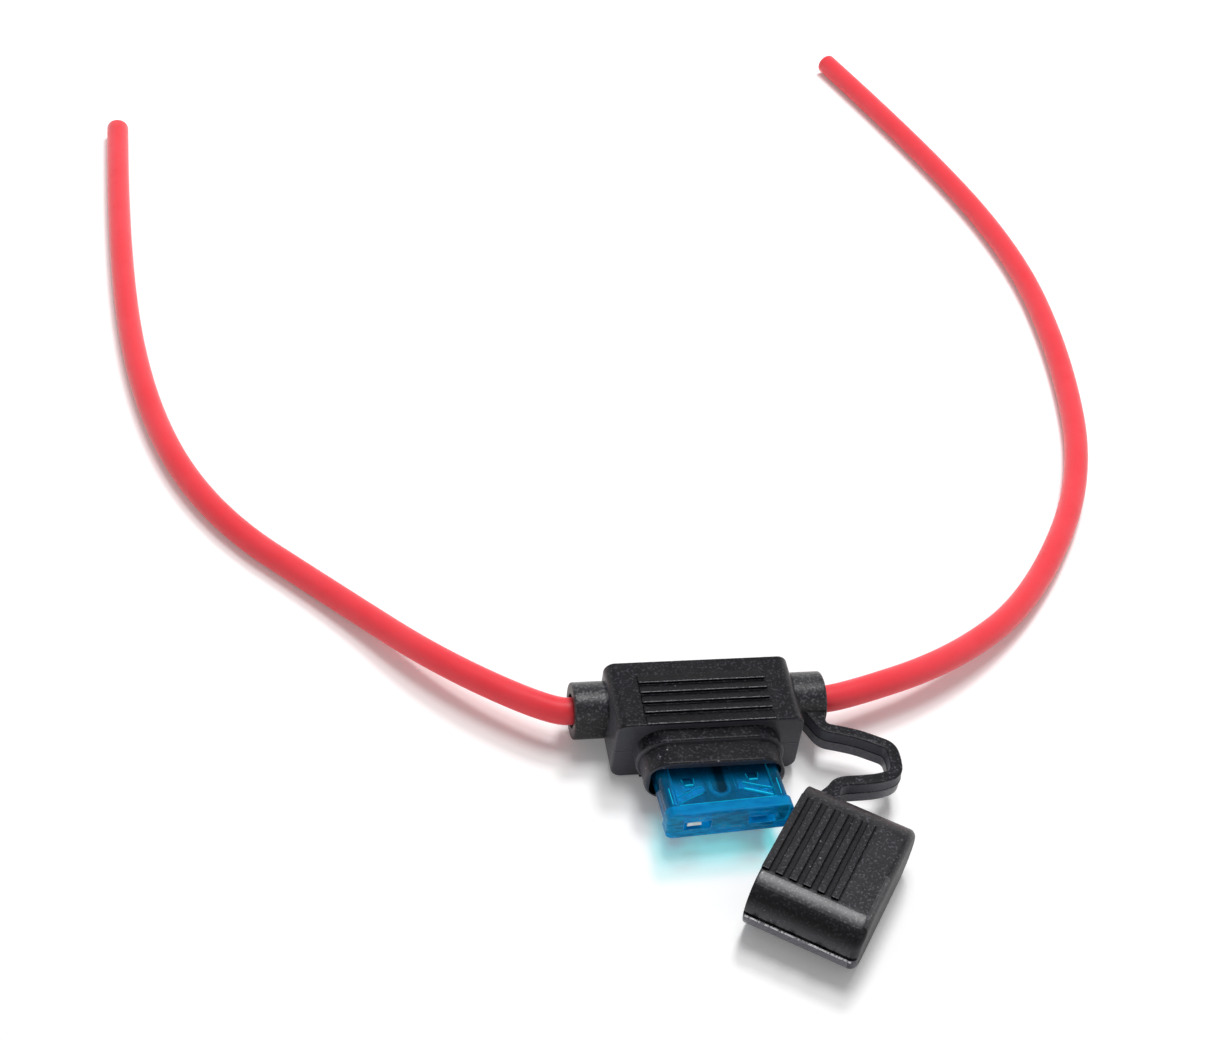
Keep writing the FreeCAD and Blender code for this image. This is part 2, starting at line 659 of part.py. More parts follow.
# Fuse strip: two blades and the link between them, cut and folded from one sheet.
fuse_strip = new_body("fuse_strip")
INNER = "(Sizes.blade_centre_x - Sizes.blade_width / 2)"
OUTER = "(Sizes.blade_centre_x + Sizes.blade_width / 2)"
blade_plan = new_sketch(fuse_strip, "blade_outline", "XY_Plane")
for sign in ("", "-"):
    polygon(blade_plan, [
        (f"{sign}{OUTER}", "Sizes.blade_top_y"),
        (f"{sign}{OUTER}", "Sizes.blade_tip_y - Sizes.tip_chamfer"),
        (f"{sign}({OUTER} - Sizes.tip_chamfer)", "Sizes.blade_tip_y"),
        (f"{sign}({INNER} + Sizes.tip_chamfer)", "Sizes.blade_tip_y"),
        (f"{sign}{INNER}", "Sizes.blade_tip_y - Sizes.tip_chamfer"),
        (f"{sign}{INNER}", "Sizes.blade_waist_y"),
        (f"{sign}({OUTER} - Sizes.blade_notch)", "Sizes.blade_shoulder_y"),
        (f"{sign}({OUTER} - Sizes.blade_notch)", "Sizes.blade_top_y"),
    ])
extrude(fuse_strip, "Pad", "blades", blade_plan, "Sizes.blade_thickness", middle=True)
foot_plan = new_sketch(fuse_strip, "link_foot_outline", "XY_Plane")
for sign in ("", "-"):
    box_outline(
        foot_plan, f"{sign}Sizes.link_inner_radius", f"{sign}({INNER} + Sizes.link_overlap)",
        "Sizes.link_foot_y - Sizes.link_foot_width", "Sizes.link_foot_y")
extrude(fuse_strip, "Pad", "link_feet", foot_plan, "Sizes.link_thickness", middle=True)
leg_plan = new_sketch(fuse_strip, "link_leg_outline", "XY_Plane")
for sign in ("", "-"):
    box_outline(
        leg_plan, f"{sign}Sizes.link_inner_radius", f"{sign}Sizes.link_outer_radius",
        "Sizes.link_top_y", "Sizes.link_foot_y - Sizes.link_overlap / 2")
extrude(fuse_strip, "Pad", "link_legs", leg_plan, "Sizes.link_thickness", middle=True)
bow_plan = new_sketch(fuse_strip, "link_bow_outline", "XY_Plane")
bow_mid = Vec(0, size("link_top_y"), 0)
bow_turn = (math.pi, 2 * math.pi)
outer_ring = Part.Circle(bow_mid, Vec(0, 0, 1), size("link_outer_radius"))
inner_ring = Part.Circle(bow_mid, Vec(0, 0, 1), size("link_inner_radius"))
outer_bow = bow_plan.addGeometry(Part.ArcOfCircle(outer_ring, *bow_turn), False)
inner_bow = bow_plan.addGeometry(Part.ArcOfCircle(inner_ring, *bow_turn), False)
for end, side in ((1, -1), (2, 1)):
    inner_end = bow_mid + Vec(side * size("link_inner_radius"), 0, 0)
    outer_end = bow_mid + Vec(side * size("link_outer_radius"), 0, 0)
    joint_line = bow_plan.addGeometry(Part.LineSegment(inner_end, outer_end), False)
    bow_plan.addConstraint(Rule("Coincident", joint_line, 1, inner_bow, end))
    bow_plan.addConstraint(Rule("Coincident", joint_line, 2, outer_bow, end))
    bow_plan.addConstraint(Rule("Horizontal", joint_line))
fix_point(bow_plan, outer_bow, 3, "0", "Sizes.link_top_y")
fix_point(bow_plan, inner_bow, 3, "0", "Sizes.link_top_y")
bind(
    bow_plan, Rule("Radius", outer_bow, size("link_outer_radius")), "Sizes.link_outer_radius")
bind(
    bow_plan, Rule("Radius", inner_bow, size("link_inner_radius")), "Sizes.link_inner_radius")
extrude(fuse_strip, "Pad", "link_bow", bow_plan, "Sizes.link_thickness", middle=True)
seat_fuse(fuse_strip)

# Cap: local origin in the middle of its open rim, -Y towards the closed end.
CAP_MID_Z = "Sizes.cap_height / 2 + Sizes.rib_height"
cap = new_body("cap")
cap_plan = new_sketch(cap, "cap_outline", "XZ_Plane")
stadium(cap_plan, "0", "0", "Sizes.cap_width", "Sizes.cap_height")
cap_block = extrude(cap, "Pad", "cap_block", cap_plan, "Sizes.cap_depth")
cap_end = soften(
    cap, "Fillet", "cap_end", cap_block, lambda edge, mid: near(mid.y, -size("cap_depth")),
    "Sizes.cap_end_round")
cavity_plan = new_sketch(cap, "cap_cavity_outline", "XZ_Plane")
stadium(
    cavity_plan, "0", "0", "(Sizes.cap_width - 2 * Sizes.cap_wall_side)",
    "(Sizes.cap_height - 2 * Sizes.cap_wall_face)")
cavity = extrude(
    cap, "Pocket", "cap_cavity", cavity_plan, "Sizes.cap_depth - Sizes.cap_wall_end",
    reverse=True)
cap_rim = soften(
    cap, "Fillet", "cap_rim", cavity, lambda edge, mid: near(mid.y, 0), "Sizes.cap_rim_round")
rib_plan = new_sketch(cap, "rib_outline", "XY_Plane", "Sizes.cap_height / 2 - Sizes.rib_root")
box_outline(
    rib_plan, "-Sizes.rib_length / 2", "Sizes.rib_length / 2",
    "-Sizes.rib_first_y - Sizes.rib_width / 2", "-Sizes.rib_first_y + Sizes.rib_width / 2")
rib = extrude(cap, "Pad", "top_rib", rib_plan, "Sizes.rib_height + Sizes.rib_root")
row_of(
    cap, "top_ribs", [rib], rib_plan, "V_Axis", "Sizes.rib_pitch", "Sizes.rib_count",
    reverse=True)
under_rib_plan = new_sketch(
    cap, "under_rib_outline", "XY_Plane", "-Sizes.cap_height / 2 - Sizes.rib_height")
box_outline(
    under_rib_plan, "-Sizes.rib_length / 2", "Sizes.rib_length / 2",
    "-Sizes.rib_first_y - Sizes.rib_width / 2", "-Sizes.rib_first_y + Sizes.rib_width / 2")
under_rib = extrude(cap, "Pad", "under_rib", under_rib_plan, "Sizes.rib_height + Sizes.rib_root")
row_of(
    cap, "under_ribs", [under_rib], under_rib_plan, "V_Axis", "Sizes.rib_pitch",
    "Sizes.rib_count", reverse=True)
cap_turn = Rot(Vec(0, 0, 1), size("cap_turn"))
cap.Placement = Place(Vec(size("cap_x"), size("cap_y"), worked(CAP_MID_Z)), cap_turn)
cap.setExpression("Placement.Base.x", "Sizes.cap_x")
cap.setExpression("Placement.Base.y", "Sizes.cap_y")
cap.setExpression("Placement.Base.z", CAP_MID_Z)


def rounded_route(corners, share=0.45, radii=None):
    """Wire of straight runs and tangent arcs through a chain of corners."""
    edges = []
    bends = []
    start = corners[0]
    for index in range(1, len(corners) - 1):
        before = corners[index] - corners[index - 1]
        after = corners[index + 1] - corners[index]
        turn = before.getAngle(after)
        shorter = min(before.Length, after.Length)
        radius = share * shorter / math.tan(turn / 2)
        if radii:
            radius = radii[index - 1]
        reach = radius * math.tan(turn / 2)
        inward = Vec(before).normalize()
        onward = Vec(after).normalize()
        first = corners[index] - inward * reach
        last = corners[index] + onward * reach
        crown_way = (onward - inward).normalize()
        centre = corners[index] + crown_way * (radius / math.cos(turn / 2))
        middle = centre - crown_way * radius
        edges.append(Part.LineSegment(start, first).toShape())
        edges.append(Part.Arc(first, middle, last).toShape())
        bends.append(radius)
        start = last
    edges.append(Part.LineSegment(start, corners[-1]).toShape())
    return Part.Wire(edges), bends


# Strap: a flat band on edge from the strap-side gland round to the cap's flank.
JOIN_X = size("cap_width") / 2
strap_level = size("strap_mid_z")


def cap_point(across, along):
    """Point of the strap's plane given in the cap's own directions."""
    turned = cap_turn.multVec(Vec(across, along, 0))
    return Vec(size("cap_x") + turned.x, size("cap_y") + turned.y, strap_level)


STRAP_CORNERS = [
    Vec(size("strap_root_x"), -size("strap_root_y"), strap_level),
    Vec(size("strap_root_x"), -size("strap_step_y"), strap_level),
    Vec(size("strap_far_x"), -size("strap_far_y"), strap_level),
    Vec(size("strap_back_x"), -size("strap_back_y"), strap_level),
    cap_point(JOIN_X + size("strap_join_reach"), size("strap_join_y")),
    cap_point(JOIN_X - size("strap_join_root"), size("strap_join_y")),
]
STRAP_BENDS = [
    size("strap_step_bend"), size("strap_far_bend"), size("strap_back_bend"),
    size("strap_join_bend"),
]
strap_route, strap_radii = rounded_route(STRAP_CORNERS, radii=STRAP_BENDS)
strap = new_body("cap_strap")
spine = strap.newObject("Sketcher::SketchObject", "strap_route")
spine.AttachmentSupport = [(plane_of(strap, "XY_Plane"), "")]
spine.MapMode = "FlatFace"
spine.setExpression("AttachmentOffset.Base.z", "Sizes.strap_mid_z")
drop = Vec(0, 0, -strap_level)
for edge in strap_route.Edges:
    ends = [vertex.Point + drop for vertex in edge.Vertexes]
    if edge.Curve.TypeId == "Part::GeomLine":
        spine.addGeometry(Part.LineSegment(ends[0], ends[1]), False)
        continue
    middle = edge.valueAt((edge.FirstParameter + edge.LastParameter) / 2) + drop
    spine.addGeometry(Part.Arc(ends[0], middle, ends[1]), False)
band_plan = new_sketch(strap, "strap_section", "XZ_Plane", "Sizes.strap_root_y")
box_outline(
    band_plan, "Sizes.strap_root_x - Sizes.strap_thickness / 2",
    "Sizes.strap_root_x + Sizes.strap_thickness / 2",
    "Sizes.strap_mid_z - Sizes.strap_height / 2", "Sizes.strap_mid_z + Sizes.strap_height / 2")
doc.recompute()
band = strap.newObject("PartDesign::AdditivePipe", "strap_band")
band.Profile = band_plan
band.Spine = (spine, [f"Edge{index + 1}" for index in range(len(strap_route.Edges))])
band.Mode = 0
band.Transition = 0
doc.recompute()
root_plan = new_sketch(
    strap, "strap_root_outline", "XY_Plane", "Sizes.strap_mid_z - Sizes.strap_height / 2")
ROOT_LEFT = "Sizes.strap_root_x - Sizes.strap_root_width / 2"
ROOT_RIGHT = "Sizes.strap_root_x + Sizes.strap_root_width / 2"
polygon(root_plan, [
    (ROOT_LEFT, "-Sizes.strap_root_y"), (ROOT_LEFT, "-Sizes.strap_root_depth"),
    ("Sizes.strap_root_x - Sizes.strap_thickness / 2", "-Sizes.strap_flare_depth"),
    (ROOT_RIGHT, "-Sizes.strap_flare_depth"), (ROOT_RIGHT, "-Sizes.strap_root_y"),
])
extrude(strap, "Pad", "strap_root", root_plan, "Sizes.strap_height")
seat_plan = new_sketch(strap, "gland_seat_outline", "YZ_Plane")
circle(seat_plan, "Sizes.gland_axis_y", "Sizes.mid_height", "Sizes.gland_radius")
extrude(strap, "Pocket", "gland_seat", seat_plan, "4 * Sizes.housing_length", middle=True)
flank_plan = strap.newObject("Sketcher::SketchObject", "cap_seat_outline")
flank_plan.AttachmentSupport = [(plane_of(strap, "XZ_Plane"), "")]
flank_plan.MapMode = "FlatFace"
seat_place = Place(
    Vec(size("cap_x"), worked(CAP_MID_Z), -size("cap_y")), Rot(Vec(0, 1, 0), size("cap_turn")))
flank_plan.AttachmentOffset = seat_place
flank_plan.setExpression("AttachmentOffset.Base.x", "Sizes.cap_x")
flank_plan.setExpression("AttachmentOffset.Base.y", CAP_MID_Z)
flank_plan.setExpression("AttachmentOffset.Base.z", "-Sizes.cap_y")
circle(
    flank_plan, "Sizes.cap_width / 2 - Sizes.cap_height / 2", "0", "Sizes.cap_height / 2")
extrude(strap, "Pocket", "cap_seat", flank_plan, "2 * Sizes.cap_depth", middle=True)

# Wires: each tail lies on the bench as one round tube.
LEFT_ROUTE = [
    Vec(-size("strip_x"), size("gland_axis_y"), size("mid_height")),
    Vec(-27.0, size("gland_axis_y"), size("mid_height")),
    Vec(-39.5, 10.1, 3.3),
    Vec(-54.8, 33.4, 2.1),
    Vec(-74.0, 53.6, 2.1),
    Vec(-84.5, 86.0, 2.1),
    Vec(-88.4, 129.0, 2.1),
    Vec(-88.9, 170.8, 2.1),
]
RIGHT_ROUTE = [
    Vec(size("strip_x"), size("gland_axis_y"), size("mid_height")),
    Vec(27.0, size("gland_axis_y"), size("mid_height")),
    Vec(41.5, 9.0, 3.0),
    Vec(62.5, 25.0, 2.1),
    Vec(82.3, 53.5, 2.1),
    Vec(90.4, 92.0, 2.1),
    Vec(89.3, 124.0, 2.1),
    Vec(80.2, 165.0, 2.1),
    Vec(69.9, 198.6, 2.1),
]


def build_wire(label, corners):
    """Round tube along a chain of straight runs and tangent arcs."""
    route, bends = rounded_route(corners)
    radius = size("wire_diameter") / 2
    heading = corners[1] - corners[0]
    ring = Part.Wire([Part.Circle(corners[0], heading, radius).toShape()])
    tube = route.makePipeShell([ring], True, True)
    expected = math.pi * radius ** 2 * route.Length
    print(label, "length", round(route.Length, 2), "bends", [round(bend, 1) for bend in bends])
    print(label, "volume", round(tube.Volume, 1), "against", round(expected, 1))
    feature = doc.addObject("Part::Feature", label)
    feature.Label = label
    feature.Shape = tube
    feature.Placement = Place(Vec(0, 0, 0), Rot())
    return feature


wire_left = build_wire("wire_left", LEFT_ROUTE)
wire_right = build_wire("wire_right", RIGHT_ROUTE)

# Checks and export.
doc.recompute()
NODES = [
    housing, cap, strap, fuse_body, fuse_strip, contact_left, contact_right,
    conductor_left, conductor_right, wire_left, wire_right,
]
faults = []
for item in doc.Objects:
    if "Invalid" in item.State or "Error" in item.State:
        faults.append(item.Label)
if faults:
    raise RuntimeError("faulty features: " + ", ".join(faults))
for node in NODES:
    shape = node.Shape
    if shape.isNull() or not shape.isValid() or len(shape.Solids) != 1:
        raise RuntimeError("bad shape: " + node.Label)
    box = shape.BoundBox
    print(
        node.Label, "volume", round(shape.Volume, 2), "x", round(box.XMin, 2), round(box.XMax, 2),
        "y", round(box.YMin, 2), round(box.YMax, 2), "z", round(box.ZMin, 2), round(box.ZMax, 2))
    shape.exportStep("parts/" + node.Label + ".step")
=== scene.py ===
"""Looks of an inline blade fuse holder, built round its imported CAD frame.

Everything is in metres in the frame of the CAD model: the origin is the middle of
the housing's underside, +X runs along the glands, -Y is the way the fuse pulls out
and +Z is up. The part lies on the floor z = 0.
"""
from __future__ import annotations

import logging
import math
from dataclasses import dataclass, field
from enum import Enum

import bpy
from mathutils import Matrix, Vector, noise

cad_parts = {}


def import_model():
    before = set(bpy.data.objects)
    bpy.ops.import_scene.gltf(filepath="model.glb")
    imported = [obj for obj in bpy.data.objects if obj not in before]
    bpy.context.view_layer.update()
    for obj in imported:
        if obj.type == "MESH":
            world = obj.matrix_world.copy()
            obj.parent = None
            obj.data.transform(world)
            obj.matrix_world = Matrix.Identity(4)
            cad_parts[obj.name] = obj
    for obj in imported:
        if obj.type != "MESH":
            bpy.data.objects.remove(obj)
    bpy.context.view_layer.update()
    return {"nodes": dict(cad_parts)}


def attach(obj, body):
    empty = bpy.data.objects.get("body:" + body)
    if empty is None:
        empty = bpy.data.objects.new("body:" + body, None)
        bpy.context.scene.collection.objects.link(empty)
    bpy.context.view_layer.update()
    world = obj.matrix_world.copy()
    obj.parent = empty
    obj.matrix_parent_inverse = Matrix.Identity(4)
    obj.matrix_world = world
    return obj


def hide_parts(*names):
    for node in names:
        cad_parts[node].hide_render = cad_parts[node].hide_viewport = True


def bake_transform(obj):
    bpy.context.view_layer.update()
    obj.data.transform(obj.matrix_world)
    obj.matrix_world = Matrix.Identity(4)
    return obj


Pair = tuple[float, float]
Triple = tuple[float, float, float]
Colour = tuple[float, float, float, float]
Faces = list[tuple[int, ...]]
Rings = list[list[Vector]]
Material = bpy.types.Material
Thing = bpy.types.Object

LOG = logging.getLogger("fuse_holder")
MM = 0.001
FULL_TURN = 2 * math.pi
QUARTER_TURN = 0.5 * math.pi
UP = Vector((0.0, 0.0, 1.0))
WHITE = (1.0, 1.0, 1.0, 1.0)
EDGE_RAYS = 4


class Body(Enum):
    """Moving groups of the holder."""

    HOLDER = "holder"
    FUSE = "fuse"
    CAP = "cap"


class Side(Enum):
    """Which end of the holder a wire leaves from."""

    LEFT = -1
    RIGHT = 1


@dataclass(frozen=True)
class Placed:
    """Where a piece lies turned on the floor, in millimetres and radians."""

    x: float
    y: float
    z: float
    turn: float

    def at(self, across: float, along: float, level: float) -> Vector:
        """Point of the frame, in metres, from the piece's own millimetres."""
        cosine, sine = math.cos(self.turn), math.sin(self.turn)
        return Vector((
            self.x + across * cosine - along * sine,
            self.y + across * sine + along * cosine, self.z + level)) * MM


CAP_PLACE = Placed(6.45, -26.4, 0.0, math.radians(55.3))
FUSE_PLACE = Placed(0.65, -20.9, 5.95, math.radians(3.2))


class Signal:
    """One socket of a node tree, with arithmetic that adds Math nodes."""

    def __init__(self, graph: NodeGraph, socket: bpy.types.NodeSocket) -> None:
        """Wrap a socket of a graph."""
        self.graph = graph
        self.socket = socket

    def _math(self, operation: str, first: Signal | float, second: Signal | float) -> Signal:
        """Add one Math node and give its result."""
        return self.graph.node(
            "ShaderNodeMath", {"operation": operation}, {0: first, 1: second})

    def __add__(self, other: Signal | float) -> Signal:
        """Sum."""
        return self._math("ADD", self, other)

    __radd__ = __add__

    def __sub__(self, other: Signal | float) -> Signal:
        """Difference."""
        return self._math("SUBTRACT", self, other)

    def __rsub__(self, other: Signal | float) -> Signal:
        """Difference from a number."""
        return self._math("SUBTRACT", other, self)

    def __mul__(self, other: Signal | float) -> Signal:
        """Product."""
        return self._math("MULTIPLY", self, other)

    __rmul__ = __mul__

    def __lt__(self, other: Signal | float) -> Signal:
        """1 where this is below the other, else 0."""
        return self._math("LESS_THAN", self, other)

    def __gt__(self, other: Signal | float) -> Signal:
        """1 where this is above the other, else 0."""
        return self._math("GREATER_THAN", self, other)

    def most(self, other: Signal | float) -> Signal:
        """Larger of the two."""
        return self._math("MAXIMUM", self, other)

    def size(self) -> Signal:
        """Absolute value."""
        return self._math("ABSOLUTE", self, 0.0)

    def ramp(self, low: float, high: float, start: float = 0.0, end: float = 1.0) -> Signal:
        """Smooth step from start to end while this goes from low to high.

        Args:
            low: Value where the step starts.
            high: Value where the step ends.
            start: Result below low.
            end: Result above high.

        Returns:
            The stepped value.
        """
        return self.graph.node(
            "ShaderNodeMapRange", {"interpolation_type": "SMOOTHSTEP"},
            {"Value": self, "From Min": low, "From Max": high, "To Min": start, "To Max": end})


Setting = str | bool | int | float
Feed = Signal | float | tuple


class NodeGraph:
    """Node tree of a material or of the sky."""

    def __init__(self, tree: bpy.types.NodeTree) -> None:
        """Wrap a tree."""
        self.tree = tree

    def node(
            self, kind: str, settings: dict[str, Setting] | None = None,
            feeds: dict[str | int, Feed] | None = None, result: str | int = 0) -> Signal:
        """Add a node of any type.

        Args:
            kind: Blender's type name of the node.
            settings: Its settings.
            feeds: Values or signals for its sockets.
            result: Name or number of the socket that comes back.

        Returns:
            The chosen output.
        """
        made = self.tree.nodes.new(kind)
        for key, value in (settings or {}).items():
            setattr(made, key, value)
        for key, value in (feeds or {}).items():
            if isinstance(value, Signal):
                self.tree.links.new(value.socket, made.inputs[key])
            else:
                made.inputs[key].default_value = value
        return Signal(self, made.outputs[result])

    def blend(self, share: Signal | float, first: Feed, second: Feed) -> Signal:
        """Mix of two colours, in which the second one has the share."""
        return self.node(
            "ShaderNodeMix", {"data_type": "RGBA"}, {0: share, 6: first, 7: second}, 2)

    def axis(self, vector: Signal, name: str) -> Signal:
        """One component of a vector: X, Y or Z."""
        return self.node("ShaderNodeSeparateXYZ", {}, {0: vector}, name)

    def dot(self, first: Feed, second: Feed) -> Signal:
        """Dot product of two vectors."""
        return self.node(
            "ShaderNodeVectorMath", {"operation": "DOT_PRODUCT"}, {0: first, 1: second}, "Value")

    def layered(self, share: Signal, first: Signal, second: Signal) -> Signal:
        """Mix of two shaders, in which the second one has the share."""
        return self.node("ShaderNodeMixShader", {}, {0: share, 1: first, 2: second})

    def seen(self) -> Signal:
        """1 for rays that a viewer sees the backdrop by, straight or in gloss or glass."""
        camera = self.node("ShaderNodeLightPath", result="Is Camera Ray")
        glossy = self.node("ShaderNodeLightPath", result="Is Glossy Ray")
        through = self.node("ShaderNodeLightPath", result="Is Transmission Ray")
        return camera.most(glossy).most(through)


class Recipe(NodeGraph):
    """Node tree of one material, ending in one main shader."""

    def __init__(self, name: str, **constants: float | tuple) -> None:
        """Make the material and set the main shader's own sockets.

        Args:
            name: Name of the material.
            **constants: Socket names, with _ for a space, and their plain values.
        """
        self.material = bpy.data.materials.new(name)
        self.material.use_nodes = True
        super().__init__(self.material.node_tree)
        self.shader = self.tree.nodes["Principled BSDF"]
        self.output = self.tree.nodes["Material Output"]
        for key, value in constants.items():
            self.shader.inputs[key.replace("_", " ")].default_value = value

    def place(self) -> Signal:
        """Position in the frame, in metres."""
        return self.node("ShaderNodeTexCoord", result="Object")

    def along(self) -> Signal:
        """Surface coordinates of a swept piece."""
        return self.node("ShaderNodeTexCoord", result="UV")

    def flat(self) -> Signal:
        """Normal of the face itself, without any rounding."""
        return self.node("ShaderNodeNewGeometry", result="True Normal")

    def stretched(self, where: Signal, scale: Triple) -> Signal:
        """Coordinates scaled by a factor along each axis."""
        return self.node(
            "ShaderNodeVectorMath", {"operation": "MULTIPLY"}, {0: where, 1: scale})

    def measured(self, where: Signal, piece: Placed, turn: float = 0.0) -> Signal:
        """Distance from a piece's origin along a level direction.

        Args:
            where: The coordinates.
            piece: The piece's place.
            turn: Angle of the direction from the piece's across axis, in radians.

        Returns:
            The distance, in metres.
        """
        way = Vector((math.cos(piece.turn + turn), math.sin(piece.turn + turn), 0.0))
        return self.dot(where, tuple(way)) - piece.at(0.0, 0.0, 0.0).dot(way)

    def veiled(self, share: Signal, colour: Feed) -> Signal:
        """Main shader with a share of a matt one of another colour."""
        matt = self.node("ShaderNodeBsdfDiffuse", {}, {"Color": colour})
        return self.layered(share, Signal(self, self.shader.outputs[0]), matt)

    def show(self, shader: Signal) -> None:
        """Make a shader the material's surface."""
        self.tree.links.new(shader.socket, self.output.inputs["Surface"])

    def grain(self, where: Signal, scale: float, detail: float = 2.0, rough: float = 0.5) -> Signal:
        """Noise from 0 to 1.

        Args:
            where: Coordinates.
            scale: Features per unit.
            detail: Octaves.
            rough: Strength of the finer octaves.
        """
        return self.node(
            "ShaderNodeTexNoise", {},
            {"Vector": where, "Scale": scale, "Detail": detail, "Roughness": rough})

    def cells(self, where: Signal, scale: float) -> Signal:
        """Distance to the nearest of scattered points, with scale points per unit."""
        return self.node("ShaderNodeTexVoronoi", {}, {"Vector": where, "Scale": scale})

    def relief(self, height: Signal, depth: float, under: Signal | None = None) -> Signal:
        """Bumped normal.

        Args:
            height: Height from 0 to 1.
            depth: What 1 stands for, in metres.
            under: A normal that the relief is laid over.

        Returns:
            The normal.
        """
        feeds: dict[str | int, Feed] = {"Height": height, "Distance": depth, "Strength": 1.0}
        if under is not None:
            feeds["Normal"] = under
        return self.node("ShaderNodeBump", {}, feeds)

    def worn_edges(self, radius: float) -> Signal:
        """Normal that rounds sharp edges to a radius, in metres."""
        return self.node("ShaderNodeBevel", {"samples": EDGE_RAYS}, {"Radius": radius})

    def drive(self, **feeds: Signal) -> None:
        """Link signals to the main shader's sockets, named with _ for a space."""
        for key, signal in feeds.items():
            self.tree.links.new(signal.socket, self.shader.inputs[key.replace("_", " ")])


@dataclass(frozen=True)
class Finish:
    """One finish of the holder."""

    name: str

    def make(self) -> Material:
        """Build the material."""
        mix = Recipe(self.name, **self.constants())
        self.paint(mix, mix.place())
        return mix.material

    def constants(self) -> dict[str, float | Triple]:
        """Plain values of the main shader's own sockets, here those of a metal."""
        return {"Metallic": 1.0}

    def paint(self, mix: Recipe, where: Signal) -> None:
        """Drive the shader's sockets by the place on the piece.

        Args:
            mix: The material's nodes.
            where: Position in the frame, in metres.
        """
        raise NotImplementedError


@dataclass
class Skin:
    """Signals that the layers of one vinyl finish share and change."""

    mix: Recipe
    where: Signal
    fine: Signal
    grains: Signal
    flat: Signal
    lean: Signal
    rounded: Signal
    upright: Signal
    tone: Signal
    height: Signal
    shine: Signal | None = None


@dataclass(frozen=True)
class SoftMoulding(Finish):
    """Black soft vinyl with an eroded mould texture, painted glints, dust specks and painted light
    on its upright walls; subclasses add painted shade and highlights.
    """

    black: Colour = (0.0030, 0.0030, 0.0045, 1.0)
    pale: Colour = (0.012, 0.012, 0.0155, 1.0)
    glint: Colour = (0.075, 0.075, 0.090, 1.0)
    speck: Colour = (0.30, 0.30, 0.31, 1.0)
    painted_wall_light: Colour = (0.063, 0.061, 0.073, 1.0)
    grains_per_metre: float = 2700.0
    grain_depth: float = 0.030 * MM
    clouds_per_metre: float = 260.0
    specks_per_metre: float = 620.0
    speck_size: float = 0.085
    glints: float = 0.50
    edge_radius: float = 0.16 * MM
    rough: float = 0.36
    gloss: float = 0.32
    dusting: float = 0.07

    def constants(self) -> dict[str, float | Triple]:
        """Gloss, dust and coat; see the base class."""
        return {
            "Specular_IOR_Level": self.gloss, "IOR": 1.5, "Sheen_Weight": self.dusting,
            "Sheen_Roughness": 0.22, "Coat_Roughness": 0.46, "Coat_Weight": 0.0, "Coat_IOR": 1.8}

    def paint(self, mix: Recipe, where: Signal) -> None:
        """Lay clouds, grain, painted glints and dust specks over the black, with painted light on
        the upright walls; see the base class.
        """
        fine = mix.grain(where, self.grains_per_metre, 1.5, 0.5)
        grains = fine.ramp(0.50, 0.68)
        cloud = mix.grain(where, self.clouds_per_metre, 3.0, 0.55).ramp(0.35, 0.72)
        luck = mix.grain(where, 170.0, 1.0, 0.5).ramp(0.5, 0.62)
        dust = (mix.cells(where, self.specks_per_metre) < self.speck_size) * luck
        tone = mix.blend(cloud * 0.30 + grains * 0.3, self.black, self.pale)
        # painted glints: a bright colour on the grain's peaks stands in for sparkles of light off
        # its facets
        tone = mix.blend(fine.ramp(0.54, 0.70) * self.glints, tone, self.glint)
        flat = mix.flat()
        lean = mix.axis(flat, "Z")
        skin = Skin(
            mix, where, fine, grains, flat, lean, mix.worn_edges(self.edge_radius),
            lean.ramp(0.30, 0.62, 1.0, 0.0), tone, fine)
        self.mark(skin)
        # painted light: upright walls get a lighter colour, with painted glints, for the light they
        # catch
        tone = mix.blend(
            skin.upright, skin.tone, mix.blend(grains * 0.5, self.painted_wall_light, self.glint))
        if skin.shine is not None:
            mix.drive(Coat_Weight=skin.shine)
        mix.drive(
            Base_Color=mix.blend(dust * 0.8, tone, self.speck),
            Roughness=grains * 0.10 + cloud * 0.06 + (self.rough - 0.05),
            Normal=mix.relief(skin.height, self.grain_depth, skin.rounded))

    def mark(self, skin: Skin) -> None:
        """Leave a plain piece with its grain alone."""


